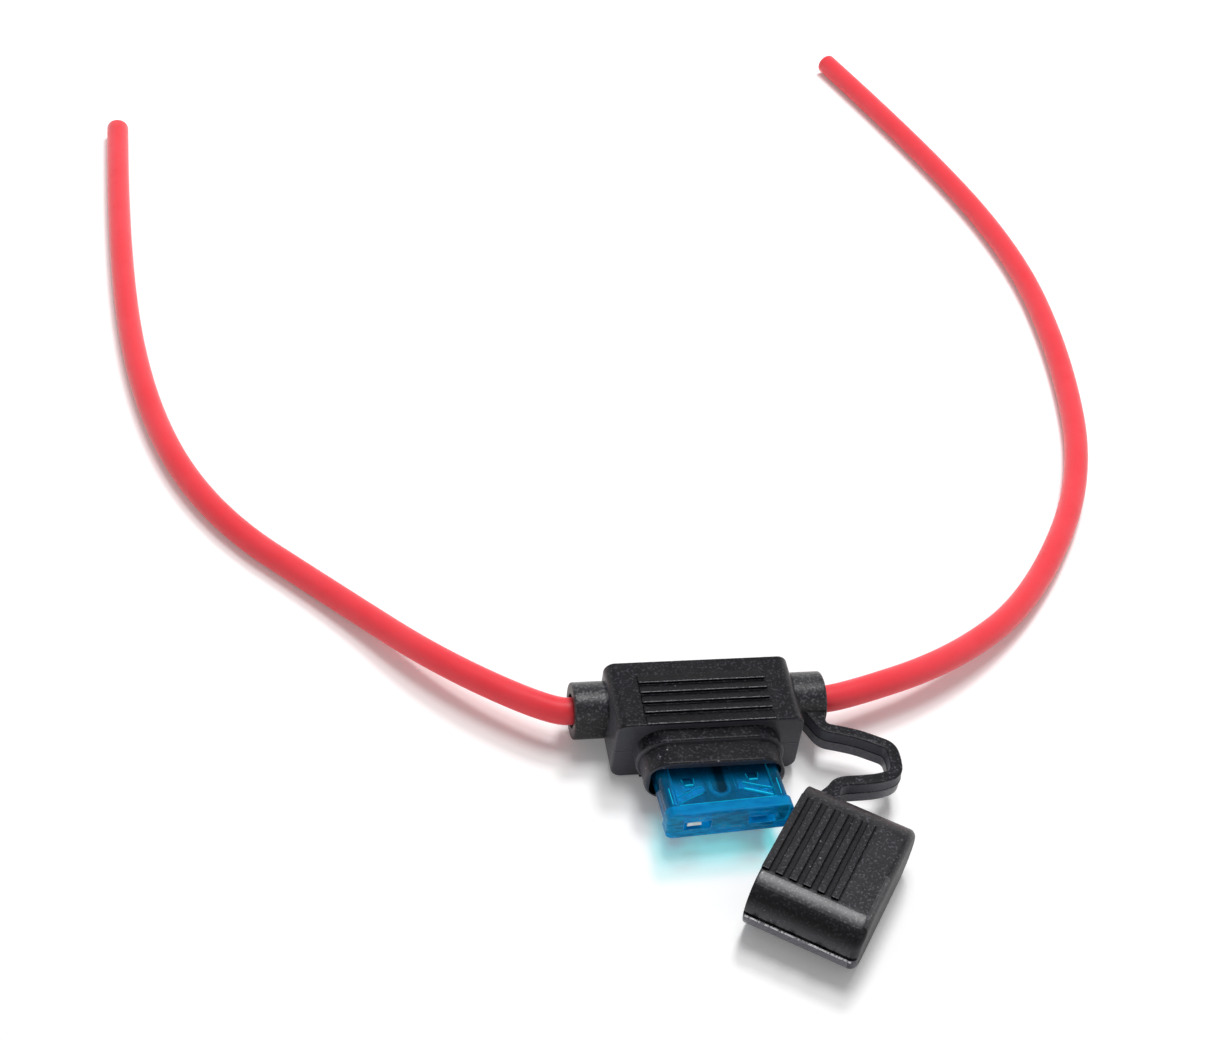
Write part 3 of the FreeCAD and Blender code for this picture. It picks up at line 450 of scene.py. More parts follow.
@dataclass(frozen=True)
class MarkedMoulding(SoftMoulding):
    """Vinyl with a parting line and raised grips, with painted shade on their feet and a painted
    highlight along their crests.

    The feet and crests are told by their distance off the parting plane.
    """

    parting: float = 5.95 * MM
    seam: Pair = (0.02 * MM, 0.11 * MM)
    seam_rise: float = 2.4
    foot: float = 5.585 * MM
    crest: float = 5.76 * MM
    foot_reach: float = 0.30 * MM
    highlight_facing: Triple = (0.0, -1.0, 0.0)
    crest_highlight: Colour = (0.90, 0.90, 0.94, 1.0)
    painted_shade: Colour = (0.0012, 0.0012, 0.0016, 1.0)

    def mark(self, skin: Skin) -> None:
        """Add the parting line, painted shade on the feet and in the piece's own zones, and painted
        highlights on the crests.
        """
        level = skin.mix.axis(skin.where, "Z")
        off = (level - self.parting).size()
        dark = self._feet(skin, off).most(self.zones(skin, level, off))
        skin.height = skin.height + off.ramp(*self.seam, 1.0, 0.0) * self.seam_rise
        # painted shade: a matt near-black layer over the feet and the zones' dark parts
        skin.mix.show(skin.mix.veiled(dark, self.painted_shade))
        # painted highlight: a pale colour along the crests' edges that face one way
        skin.tone = skin.mix.blend(self._crest_highlights(skin, off), skin.tone, self.crest_highlight)

    def _feet(self, skin: Skin, off: Signal) -> Signal:
        """Mask of the painted shade on the grips' feet and flanks."""
        bent = skin.mix.dot(skin.mix.worn_edges(self.foot_reach), skin.flat)
        low = bent.ramp(0.95, 0.998, 1.0, 0.0).most(skin.lean.size() < 0.5)
        return low * (off > self.foot) * (off < self.crest)

    def _crest_highlights(self, skin: Skin, off: Signal) -> Signal:
        """Mask of the painted highlight on the crests, beaded by the grain, on the edges that face
        one way.
        """
        edge = skin.mix.dot(skin.rounded, skin.flat).ramp(0.965, 0.997, 1.0, 0.0)
        facing = skin.mix.dot(skin.rounded, self.highlight_facing).ramp(0.08, 0.30)
        return edge * (off > self.crest) * skin.fine.ramp(0.36, 0.58, 0.30, 1.0) * facing

    def zones(self, skin: Skin, level: Signal, off: Signal) -> Signal:
        """Change the finish, and give the painted shade, in the piece's own zones.

        Args:
            skin: The finish so far.
            level: Height in the frame.
            off: Distance off the parting plane.

        Returns:
            How much painted shade each zone gets.
        """
        raise NotImplementedError


@dataclass(frozen=True)
class HousingMoulding(MarkedMoulding):
    """Finish of the housing: painted shade on the slopes of the teeth and on the glands' lower
    sides, and glossier glands with more painted glints.
    """

    gland_edge: Pair = (14.5 * MM, 14.8 * MM)
    slope_foot: float = 5.615 * MM

    def zones(self, skin: Skin, level: Signal, off: Signal) -> Signal:
        """Make the glands glossier with more painted glints, and paint shade on the slopes and the
        glands' lower sides; see the base class.
        """
        grains, lean = skin.grains, skin.lean
        gland = skin.mix.axis(skin.where, "X").size().ramp(*self.gland_edge)
        skin.height = skin.height * (gland * 0.9 + 1.0)
        skin.shine = gland * (grains * 0.5 + 0.32)
        # no painted wall light on the glands
        skin.upright = skin.upright * gland.ramp(0.0, 1.0, 1.0, 0.0)
        # more painted glints on the glands
        skin.tone = skin.mix.blend(gland * grains * 0.2, skin.tone, self.glint)
        # painted shade: dims the teeth's slopes, which catch the lamp
        slope = lean.ramp(0.985, 0.999, 1.0, 0.0) * lean.ramp(0.86, 0.93)
        slope = slope * (off > self.slope_foot) * 0.50
        # painted shade on the lower sides of the glands
        return slope.most(gland * lean.ramp(0.35, 0.80, 0.42, 0.0))


@dataclass(frozen=True)
class CapMoulding(MarkedMoulding):
    """Finish of the cap, whose zones are measured from the middle of its mouth."""

    ribs_half: float = 7.6 * MM
    ribs_end: float = -11.6 * MM
    valley: Pair = (4.6 * MM, 5.2 * MM)
    flank_edge: float = -9.5 * MM
    flank_rise: Pair = (6.0 * MM, 8.6 * MM)
    lip_edge: float = -11.9 * MM
    lip_levels: Pair = (5.45 * MM, 5.95 * MM)
    strip_edge: float = -11.0 * MM
    closed_end: float = -15.9 * MM

    def zones(self, skin: Skin, level: Signal, off: Signal) -> Signal:
        """Gloss the shoulder, paint shade into the valleys, over the ribbed zone, on the flank,
        along the lip over the burr and on the closed end, and paint a reflection on the strip below
        the parting line; see the base class.
        """
        grains, lean = skin.grains, skin.lean
        across = skin.mix.measured(skin.where, CAP_PLACE)
        along = skin.mix.measured(skin.where, CAP_PLACE, QUARTER_TURN)
        ribs = (across.size() < self.ribs_half) * (along > self.ribs_end) * (off > self.valley[0])
        # painted shade in the valleys between the ribs, and a little over the whole ribbed zone
        valleys = ribs * (off < self.valley[1]) * (grains * 0.25 + 0.30)
        shoulder = lean.ramp(0.62, 0.90) * lean.ramp(0.990, 0.9995, 1.0, 0.0)
        skin.shine = shoulder * (across < 0.0) * (grains * 0.4 + 0.8)
        # painted shade on the flank below the shoulder's highlight
        flank = level.ramp(*self.flank_rise) * lean.ramp(0.82, 0.92, 1.0, 0.0)
        flank = flank * (across < self.flank_edge) * 0.66
        bottom, top = self.lip_levels
        # painted shade: a dark line along the lip above the burr
        lip = (across < self.lip_edge) * (level > bottom) * (level < top) * 0.9
        # painted shade on the closed end
        end = (along < self.closed_end) * lean.ramp(0.2, 0.7, 0.42, 0.0)
        # painted reflection: the strip below the parting line keeps the full painted wall light,
        # other walls a quarter of it
        strip = (level < self.parting) * (across < self.strip_edge)
        skin.upright = skin.upright * (strip * 0.75 + 0.25)
        return valleys.most(ribs * 0.10).most(flank).most(lip).most(end)


@dataclass(frozen=True)
class TintedClear(Finish):
    """Clear blue moulding that lets tinted light through to what it lies on.

    Depths are measured from the end face of the fuse, levels from the floor.
    """

    tint: Colour = (0.001, 0.28, 0.55, 1.0)
    shade: Colour = (0.05, 0.80, 0.78, 1.0)
    rough: float = 0.05
    clearness: float = 0.80
    bend: float = 1.25
    room_half: Pair = (2.2 * MM, 3.0 * MM)
    room_depth: Pair = (3.2 * MM, 4.4 * MM)
    room_level: float = 5.0 * MM
    link_half: Pair = (0.40 * MM, 1.15 * MM)
    link_depth: Pair = (3.9 * MM, 4.8 * MM)
    link_level: float = 7.0 * MM
    crown_depth: Pair = (1.7 * MM, 2.1 * MM)
    crown_glow: float = 0.55
    crown_low: Colour = (0.003, 0.22, 0.54, 1.0)
    crown_high: Colour = (0.006, 0.33, 0.70, 1.0)
    painted_face_light: Colour = (0.015, 0.56, 1.0, 1.0)
    painted_reflection_tone: Colour = (0.42, 0.62, 0.85, 1.0)
    rim_highlight: Colour = (0.55, 0.60, 0.75, 1.0)
    rim_depth: float = 0.6 * MM
    streaks: Triple = (380.0, 1500.0, 1900.0)

    def _tinted(self, *shares: float) -> Colour:
        """The tint with its red, green and blue scaled by three shares."""
        return (*(value * share for value, share in zip(self.tint, shares)), 1.0)

    def constants(self) -> dict[str, float | Triple]:
        """Clearness, bend and polish; see the base class."""
        return {
            "Transmission_Weight": self.clearness, "IOR": self.bend, "Roughness": self.rough,
            "Specular_IOR_Level": 0.16}

    def paint(self, mix: Recipe, where: Signal) -> None:
        """Tint the plastic, paint shade into the room and link seen through it, and light its crown
        with a milky matt layer; see the base class.
        """
        flow = mix.grain(where, 900.0, 2.0, 0.5)
        inward = mix.measured(where, FUSE_PLACE, QUARTER_TURN)
        across = mix.measured(where, FUSE_PLACE).size()
        level = mix.axis(where, "Z")
        room = across.ramp(*self.room_half, 1.0, 0.0) * inward.ramp(*self.room_depth)
        link = across.ramp(*self.link_half, 1.0, 0.0) * inward.ramp(*self.link_depth, 0.0, 0.75)
        # painted shade: the base colour is darkened where the chamber's depths show through the
        # fuse
        painted_depth_shade = room * (level < self.room_level) + link * (level > self.link_level)
        hue = mix.blend(flow.ramp(0.3, 0.7), self.tint, self._tinted(0.8, 0.86, 0.9))
        mix.drive(
            Base_Color=mix.blend(painted_depth_shade, hue, self._tinted(0.2, 0.04, 0.05)),
            Normal=mix.relief(flow, 0.012 * MM, mix.worn_edges(0.10 * MM)))
        share, lit = self._crown(mix, where, inward, flow)
        through = mix.node("ShaderNodeBsdfTransparent", {}, {"Color": self.shade})
        lamp_ray = mix.node("ShaderNodeLightPath", result="Is Shadow Ray")
        mix.show(mix.layered(lamp_ray, mix.veiled(share, lit), through))

    def _crown(
            self, mix: Recipe, where: Signal, inward: Signal,
            flow: Signal) -> tuple[Signal, Signal]:
        """Milky light of the solid crown, with painted light and painted reflection streaks on its
        end face, and a painted highlight along the rim.

        Args:
            mix: The material's nodes.
            where: Position in the frame.
            inward: Depth from the end face.
            flow: Flow marks from 0 to 1.

        Returns:
            How much of the milky light shows, and its colour.
        """
        flat = mix.flat()
        upright = mix.axis(flat, "Z").size().ramp(0.3, 0.7, 1.0, 0.0)
        patches = mix.grain(mix.stretched(where, self.streaks), 1.0, 3.0, 0.62)
        lit = mix.blend(patches.ramp(0.35, 0.65), self.crown_low, self.crown_high)
        # painted light: the upright end face gets a brighter blue than the top
        lit = mix.blend(upright, lit, self.painted_face_light)
        # painted reflection: pale streaks on the end face
        lit = mix.blend(patches.ramp(0.60, 0.68) * upright * 0.5, lit, self.painted_reflection_tone)
        # painted highlight along the crown's front edges, beaded by the flow marks
        rim = mix.dot(mix.worn_edges(0.14 * MM), flat).ramp(0.95, 0.997, 1.0, 0.0)
        rim = rim * (inward < self.rim_depth) * flow.ramp(0.4, 0.55, 0.3, 1.0)
        crown = inward.ramp(*self.crown_depth, self.crown_glow, 0.0)
        broken = patches.ramp(0.42, 0.58, 0.42, 1.0)
        share = crown * (upright * (broken - 1.0) + 1.0)
        return share.most(rim * 0.8), mix.blend(rim * 0.7, lit, self.rim_highlight)


@dataclass(frozen=True)
class PlatedSheet(Finish):
    """Stamped sheet metal with a dull plating, rolled along one axis."""

    metal: Colour = (0.70, 0.70, 0.69, 1.0)
    stain: Colour = (0.48, 0.47, 0.45, 1.0)
    rough: float = 0.30
    rolled: Triple = (7000.0, 500.0, 7000.0)

    def paint(self, mix: Recipe, where: Signal) -> None:
        """Lay rolling lines and stains on the metal; see the base class."""
        lines = mix.grain(mix.stretched(where, self.rolled), 1.0, 3.0, 0.6)
        cloud = mix.grain(where, 480.0, 3.0, 0.6).ramp(0.42, 0.7)
        mix.drive(
            Base_Color=mix.blend(cloud * 0.6, self.metal, self.stain),
            Roughness=lines * 0.16 + cloud * 0.10 + (self.rough - 0.1),
            Normal=mix.relief(lines, 0.006 * MM, mix.worn_edges(0.05 * MM)))


@dataclass(frozen=True)
class BareCopper(Finish):
    """Bare drawn copper with a little tarnish."""

    metal: Colour = (0.86, 0.42, 0.24, 1.0)
    tarnish: Colour = (0.42, 0.18, 0.10, 1.0)

    def paint(self, mix: Recipe, where: Signal) -> None:
        """Lay draw lines and tarnish on the metal; see the base class."""
        drawn = mix.grain(mix.stretched(where, (600.0, 9000.0, 9000.0)), 1.0, 2.0, 0.5)
        spots = mix.grain(where, 1100.0, 3.0, 0.6).ramp(0.45, 0.75)
        mix.drive(
            Base_Color=mix.blend(spots * 0.7, self.metal, self.tarnish),
            Roughness=spots * 0.2 + drawn * 0.1 + 0.22,
            Normal=mix.relief(drawn, 0.008 * MM))


@dataclass(frozen=True)
class WireInsulation(Finish):
    """Red soft wire insulation with faint draw lines along its length."""

    red: Colour = (0.98, 0.070, 0.092, 1.0)
    deep: Colour = (0.90, 0.046, 0.064, 1.0)

    def constants(self) -> dict[str, float | Triple]:
        """Soft gloss and the light's way through the skin; see the base class."""
        return {
            "Specular_IOR_Level": 0.30, "Sheen_Weight": 0.22, "Sheen_Roughness": 0.35,
            "Subsurface_Weight": 0.55, "Subsurface_Scale": 1.6 * MM,
            "Subsurface_Radius": (1.0, 0.30, 0.26)}

    def paint(self, mix: Recipe, where: Signal) -> None:
        """Lay draw lines, clouds and smears on the red; see the base class."""
        lines = mix.grain(mix.stretched(mix.along(), (90.0, 5200.0, 1.0)), 1.0, 2.0, 0.5)
        skin = mix.grain(where, 2600.0, 3.0, 0.55)
        cloud = mix.grain(where, 120.0, 2.0, 0.5).ramp(0.35, 0.7)
        smear = mix.grain(where, 900.0, 3.0, 0.6).ramp(0.56, 0.78)
        mix.drive(
            Base_Color=mix.blend(cloud * 0.45 + smear * 0.25, self.red, self.deep),
            Roughness=skin * 0.12 + smear * 0.12 + 0.34,
            Normal=mix.relief(lines * 0.7 + skin * 0.5, 0.010 * MM))


def linked(name: str, data: bpy.types.ID) -> Thing:
    """New object of some data, linked to the scene."""
    made = bpy.data.objects.new(name, data)
    bpy.context.scene.collection.objects.link(made)
    return made


@dataclass
class Draft:
    """Vertices and faces of a piece while it is put together."""

    points: list[Vector] = field(default_factory=list)
    faces: Faces = field(default_factory=list)

    def sweep(self, rings: Rings, flip: bool = False, closed_start: bool = True) -> Draft:
        """Add a swept form: the faces between its rings, then those that close its ends.

        Args:
            rings: The rings, each with the same number of points.
            flip: Whether the faces look the other way.
            closed_start: Whether the first ring is closed as well as the last one.

        Returns:
            This draft.
        """
        first, count = len(self.points), len(rings[0])
        last = first + count * (len(rings) - 1)
        faces: Faces = []
        for low in range(first, last, count):
            for step in range(count):
                after = (step + 1) % count
                faces.append((low + step, low + count + step, low + count + after, low + after))
        if closed_start:
            faces.append(tuple(range(first, first + count)))
        faces.append(tuple(range(last + count - 1, last - 1, -1)))
        self.faces += [tuple(reversed(face)) for face in faces] if flip else faces
        self.points += [point for ring in rings for point in ring]
        return self

    def piece(self, name: str, material: Material, smooth: bool = True) -> Thing:
        """Make the mesh object and link it to the scene.

        Args:
            name: Name of the piece.
            material: Its finish.
            smooth: Whether the faces are shaded as one smooth surface.

        Returns:
            The new object.
        """
        mesh = bpy.data.meshes.new(name)
        mesh.from_pydata([tuple(point) for point in self.points], [], self.faces)
        mesh.update()
        mesh.materials.append(material)
        if smooth:
            mesh.polygons.foreach_set("use_smooth", [True] * len(mesh.polygons))
        return linked(name, mesh)


def circle(middle: Vector, side: Vector, over: Vector, radius: float, count: int) -> list[Vector]:
    """Points of a circle round a middle, turning from one direction to the other."""
    angles = [FULL_TURN * step / count for step in range(count)]
    return [
        middle + (side * math.cos(angle) + over * math.sin(angle)) * radius for angle in angles]


def spline_points(name: str, controls: list[Triple], steps: int) -> list[Vector]:
    """Points of the smooth curve that a chain of control points gives.

    Args:
        name: Name for the helper curve, which is deleted.
        controls: Control points, in metres.
        steps: Points per span.

    Returns:
        The curve's points in order.
    """
    curve = bpy.data.curves.new(name, "CURVE")
    curve.dimensions = "3D"
    curve.resolution_u = steps
    spline = curve.splines.new("NURBS")
    spline.points.add(len(controls) - 1)
    for point, control in zip(spline.points, controls):
        point.co = (*control, 1.0)
    spline.order_u = 3
    spline.use_endpoint_u = True
    helper = linked(name, curve)
    mesh = bpy.data.meshes.new_from_object(helper)
    points = [vertex.co.copy() for vertex in mesh.vertices]
    bpy.data.meshes.remove(mesh)
    bpy.data.objects.remove(helper)
    bpy.data.curves.remove(curve)
    return points


def headings(points: list[Vector]) -> list[Vector]:
    """Unit direction of a line at each of its points."""
    last = len(points) - 1
    return [
        (points[min(index + 1, last)] - points[max(index - 1, 0)]).normalized()
        for index in range(last + 1)]


@dataclass
class StrandedEnd:
    """Cut end of a wire: fine copper strands that just show in the insulation."""

    name: str
    strand_radius: float = 0.235 * MM
    proud: float = 0.16 * MM
    sunk: float = 1.2 * MM
    lay_angle: float = 0.16
    sides: int = 10

    def build(self, tip: Vector, outward: Vector, material: Material) -> Thing:
        """Make the bundle at the end face's middle, along a unit direction outward."""
        side = outward.orthogonal().normalized()
        axes = (outward, side, outward.cross(side))
        draft = Draft()
        for count, spread in ((1, 0.0), (6, 2.06), (12, 4.02)):
            for index in range(count):
                turn = FULL_TURN * index / count + 0.2 * spread
                jitter = noise.noise(Vector((index * 1.7, spread * 3.1, 0.4)))
                proud = self.proud * (1.0 + 0.9 * jitter)
                rings = self._strand(tip, axes, spread * self.strand_radius, turn, proud)
                draft.sweep(rings, flip=True, closed_start=False)
        return draft.piece(self.name, material)

    def _strand(
            self, tip: Vector, axes: tuple[Vector, Vector, Vector], reach: float, turn: float,
            proud: float) -> Rings:
        """Rings of one strand with a rounded cut end.

        Args:
            tip: Middle of the end face.
            axes: Outward, sideways and across directions.
            reach: Distance of the strand from the middle.
            turn: Its angle round the middle.
            proud: How far it stands out.

        Returns:
            The rings, from the sunk one outwards.
        """
        outward, side, over = axes
        radius = self.strand_radius
        rings: Rings = []
        for level, share in (
                (-self.sunk, 1.0), (proud - 0.5 * radius, 1.0),
                (proud - 0.12 * radius, 0.86), (proud, 0.55)):
            lean = turn + self.lay_angle * level / MM
            middle = tip + outward * level + (
                side * math.cos(lean) + over * math.sin(lean)) * reach
            rings.append(circle(middle, side, over, radius * share, self.sides))
        return rings


@dataclass
class WireTail:
    """One free wire: insulation swept along its route, and its stranded cut end."""

    side: Side
    controls: list[Triple]
    length: float
    radius: float = 2.1 * MM
    core_radius: float = 1.22 * MM
    core_sunk: float = 0.8 * MM
    core_edge: float = 0.06 * MM
    end_round: float = 0.22 * MM
    sides: int = 40
    steps: int = 26

    def build(self, insulation: Material, copper: Material) -> None:
        label = self.side.name.lower()
        route = spline_points(
            f"wire_{label}_line", [tuple(c * MM for c in p) for p in self.controls], self.steps)
        jacket = self._jacket(f"wire_{label}_insulation", route, insulation)
        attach(jacket, Body.HOLDER.value)
        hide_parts(f"wire_{label}")
        outward = (route[-1] - route[-2]).normalized()
        strands = StrandedEnd(f"wire_{label}_strands").build(route[-1], outward, copper)
        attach(strands, Body.HOLDER.value)
        LOG.info("wire %s: %d route points", label, len(route))

    def _jacket(self, name: str, route: list[Vector], material: Material) -> Thing:
        """Sweep the insulation, with a small radius and the core's hole at the cut end."""
        ways = headings(route)
        profile = [(point, way, self.radius) for point, way in zip(route, ways)]
        tip, outward = profile[-1][0], (route[-1] - route[-2]).normalized()
        profile = [entry for entry in profile if (entry[0] - tip).length > 2 * self.end_round]
        for turn in range(5):
            angle = QUARTER_TURN * turn / 4
            back = self.end_round * (1 - math.sin(angle))
            drop = self.end_round * (1 - math.cos(angle))
            profile.append((tip - outward * back, outward, self.radius - drop))
        profile.append((tip, outward, self.core_radius + self.core_edge))
        for sunk in (self.core_edge, self.core_sunk):
            profile.append((tip - outward * sunk, outward, self.core_radius))
        rings: Rings = []
        travelled = [0.0]
        for index, (middle, way, radius) in enumerate(profile):
            across = way.cross(UP).normalized()
            if index:
                travelled.append(travelled[-1] + (middle - profile[index - 1][0]).length)
            rings.append(circle(middle, across, across.cross(way), radius, self.sides))
        piece = Draft().sweep(rings).piece(name, material)
        layer = piece.data.uv_layers.new(name="swept")
        for polygon in piece.data.polygons:
            numbers = [piece.data.loops[corner].vertex_index for corner in polygon.loop_indices]
            seam = {number % self.sides for number in numbers} == {0, self.sides - 1}
            for corner, number in zip(polygon.loop_indices, numbers):
                ring, step = divmod(number, self.sides)
                share = 1.0 if seam and step == 0 else step / self.sides
                layer.data[corner].uv = (travelled[ring], share * FULL_TURN * self.radius)
        return piece


@dataclass
class CapStrap:
    """Soft band on edge that ties the cap to the strap-side gland."""

    half_thick: float = 0.95 * MM
    half_high: float = 2.0 * MM
    corner: float = 0.26 * MM
    level: float = 5.6 * MM
    root_length: float = 4.0 * MM
    root_half_thick: float = 1.75 * MM
    join_length: float = 2.8 * MM
    join_half_thick: float = 1.8 * MM
    flash: float = 0.10 * MM
    controls: tuple[Pair, ...] = (
        (17.6, -0.6), (17.6, -2.4), (18.1, -5.0), (20.6, -5.75), (23.4, -6.8), (25.6, -8.1),
        (27.6, -9.3), (27.75, -11.6), (27.3, -14.6), (24.6, -15.5), (21.6, -15.65),
        (18.3, -15.6), (16.9, -16.8), (15.72, -18.9))
    steps: int = 14

    @staticmethod
    def _swell(share: float) -> float:
        """Smooth step from 1 at the end to 0 past it."""
        rest = min(1.0, max(0.0, 1.0 - share))
        return rest * rest * (3 - 2 * rest)

    def _section(self, grow_thick: float) -> list[Pair]:
        """Outline of the band, sideways and upward, with an extra half thickness."""
        thick = self.half_thick + grow_thick
        high = self.half_high
        outline: list[Pair] = []
        for side, top, begin in ((1, -1, -90), (1, 1, 0), (-1, 1, 90), (-1, -1, 180)):
            if side == top:
                for level, out in ((-0.16, 0.0), (-0.05, 1.0), (0.05, 1.0), (0.16, 0.0)):
                    outline.append((side * (thick + out * self.flash), side * level * MM))
            for step in range(5):
                angle = math.radians(begin + 90 * step / 4)
                outline.append((
                    side * (thick - self.corner) + self.corner * math.cos(angle),
                    top * (high - self.corner) + self.corner * math.sin(angle)))
        return outline

    def build(self, material: Material) -> None:
        """Make the strap, which bends between the holder and the cap."""
        line = spline_points(
            "strap_line", [(x * MM, y * MM, self.level) for x, y in self.controls], self.steps)
        rings: Rings = []
        travelled = 0.0
        length = sum((after - before).length for before, after in zip(line, line[1:]))
        for index, (middle, way) in enumerate(zip(line, headings(line))):
            if index:
                travelled += (middle - line[index - 1]).length
            root = self._swell(travelled / self.root_length)
            join = self._swell((length - travelled) / self.join_length)
            outline = self._section(
                root * (self.root_half_thick - self.half_thick)
                + join * (self.join_half_thick - self.half_thick))
            across = way.cross(UP).normalized()
            rings.append([middle + across * side + UP * rise for side, rise in outline])
        strap = Draft().sweep(rings).piece("strap_band", material)
        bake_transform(strap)
        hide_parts("cap_strap")
        LOG.info("strap: %d rings", len(line))


@dataclass
class CapBurr:
    """Torn flash that the mould's parting line left along the cap's free flank."""

    flank: float = -12.5
    level: float = 5.35
    first: float = -0.4
    last: float = -16.4
    steps: int = 190
    thick: float = 0.09
    reach: float = 0.42
    curl: float = 0.46

    def build(self, material: Material) -> None:
        """Make the ragged lip, which curls up from the parting line."""
        rings: Rings = []
        for index in range(self.steps + 1):
            along = self.first + (self.last - self.first) * index / self.steps
            coarse = noise.noise(Vector((along * 0.8, 3.1, 0.0)))
            fine = noise.noise(Vector((along * 3.1, 8.3, 0.0)))
            ragged = min(1.5, max(0.02, 0.50 + 1.7 * coarse + 2.4 * fine))
            out = self.flank - self.reach * ragged
            rise = self.level + self.curl * ragged + 0.10 * fine
            section = (
                (self.flank + 0.3, self.level - 0.12),
                (self.flank - 0.6 * self.reach, self.level - 0.10 + 0.08 * coarse),
                (out - 0.5 * self.thick, rise),
                (out + 0.5 * self.thick, rise + 0.3 * self.thick),
                (self.flank - 0.3 * self.reach, self.level + 0.06),
                (self.flank + 0.3, self.level))
            rings.append([CAP_PLACE.at(across, along, level) for across, level in section])
        burr = Draft().sweep(rings).piece("cap_burr", material, smooth=False)
        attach(burr, Body.CAP.value)
        LOG.info("cap burr: %d rings", len(rings))


@dataclass
class FuseRidges:
    """Fine moulded ridges on the fuse's clear faces, in a bright, less clear blue that paints the
    light their edges gather, and the metal in its test slots.
    """

    pane: float = 1.55
    waist: float = 2.15
    crown: float = 2.55
    tall: float = 0.26
    tab_half: float = 1.1
    tab_width: float = 0.5
    tab_foot: float = -0.3
    tab_height: float = 0.65
    tabs_at: tuple[Pair, ...] = ((-5.3, 0.55), (4.9, 1.1))

    def _runs(self) -> list[tuple[float, float, float, float, float, float, float]]:
        """Ridges as start, end, width, foot level and height, in the fuse's millimetres."""
        runs = [
            (3.10, 4.60, 7.15, 2.90, 0.42, self.pane, self.tall),
            (3.05, 5.80, 7.35, 4.15, 0.22, self.pane, self.tall),
            (-3.10, 4.60, -7.10, 2.95, 0.09, self.pane, 0.4 * self.tall),
            (-3.05, 5.80, -7.30, 4.15, 0.09, self.pane, 0.4 * self.tall),
            (-7.5, 1.90, 7.3, 1.90, 0.18, self.crown - 0.03, 0.09)]
        for side in (-1, 1):
            runs += [
                (side * 7.42, 2.3, side * 7.42, 9.8, 0.09, self.pane, 0.60),
                (side * 8.20, 2.6, side * 8.20, 5.6, 0.17, self.waist - 0.05, 0.11),
                (side * 4.9 - 0.70, 6.15, side * 4.9 + 0.70, 6.15, 0.32, self.pane, self.tall),
                (side * 4.9 - 0.80, 6.45, side * 4.9 - 0.95, 7.3, 0.08, self.pane, self.tall),
                (side * 4.9 + 0.80, 6.45, side * 4.9 + 0.95, 7.3, 0.08, self.pane, self.tall)]
        return runs

    def _bar(
            self, start: Pair, end: Pair, width: float, foot: float, height: float,
            side: int) -> Rings:
        """Rings of one ridge with sloping sides and ends.

        Args:
            start: Its first end, across and inward.
            end: Its other end.
            width: Width of its foot.
            foot: Level of its foot.
            height: Its height.
            side: 1 for the upper face of the fuse, -1 for the lower one.

        Returns:
            The rings, from the foot up.
        """
        way = Vector((end[0] - start[0], end[1] - start[1])).normalized()
        over = Vector((-way.y, way.x))
        corners = ((1, 1, start), (-1, 1, start), (-1, -1, end), (1, -1, end))
        rings: Rings = []
        for level, share in (
                (foot - 0.02, 1.0), (foot + 0.7 * height, 0.72), (foot + height, 0.34)):
            pull = 0.5 * width * (1 - share)
            spots = [
                Vector(tip) + way * (along * pull) + over * (turn * 0.5 * width * share)
                for turn, along, tip in corners]
            rings.append([FUSE_PLACE.at(spot.x, spot.y, side * level) for spot in spots])
        return rings

    def build(self, clear: Material, metal: Material) -> None:
        """Make the clear ridges of both faces, in their painted-light blue, and the two metal ends.
        """
        ridges, tabs = Draft(), Draft()
        for side in (1, -1):
            for ax, ay, bx, by, width, foot, height in self._runs():
                bar = self._bar((ax, ay), (bx, by), width, foot, height, side)
                ridges.sweep(bar, flip=side > 0)
        for middle, depth in self.tabs_at:
            tabs.sweep(self._bar(
                (middle - self.tab_half, depth), (middle + self.tab_half, depth),
                self.tab_width, self.tab_foot, self.tab_height, 1), flip=True)
        for draft, name, slot, finish in (
                (ridges, "fuse_ridges", "fuse_blue", clear),
                (tabs, "fuse_test_metal", "fuse_metal", metal)):
            made = draft.piece(name, finish, smooth=False)
            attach(made, Body.FUSE.value)
        LOG.info("fuse ridges: %d faces", len(ridges.faces))


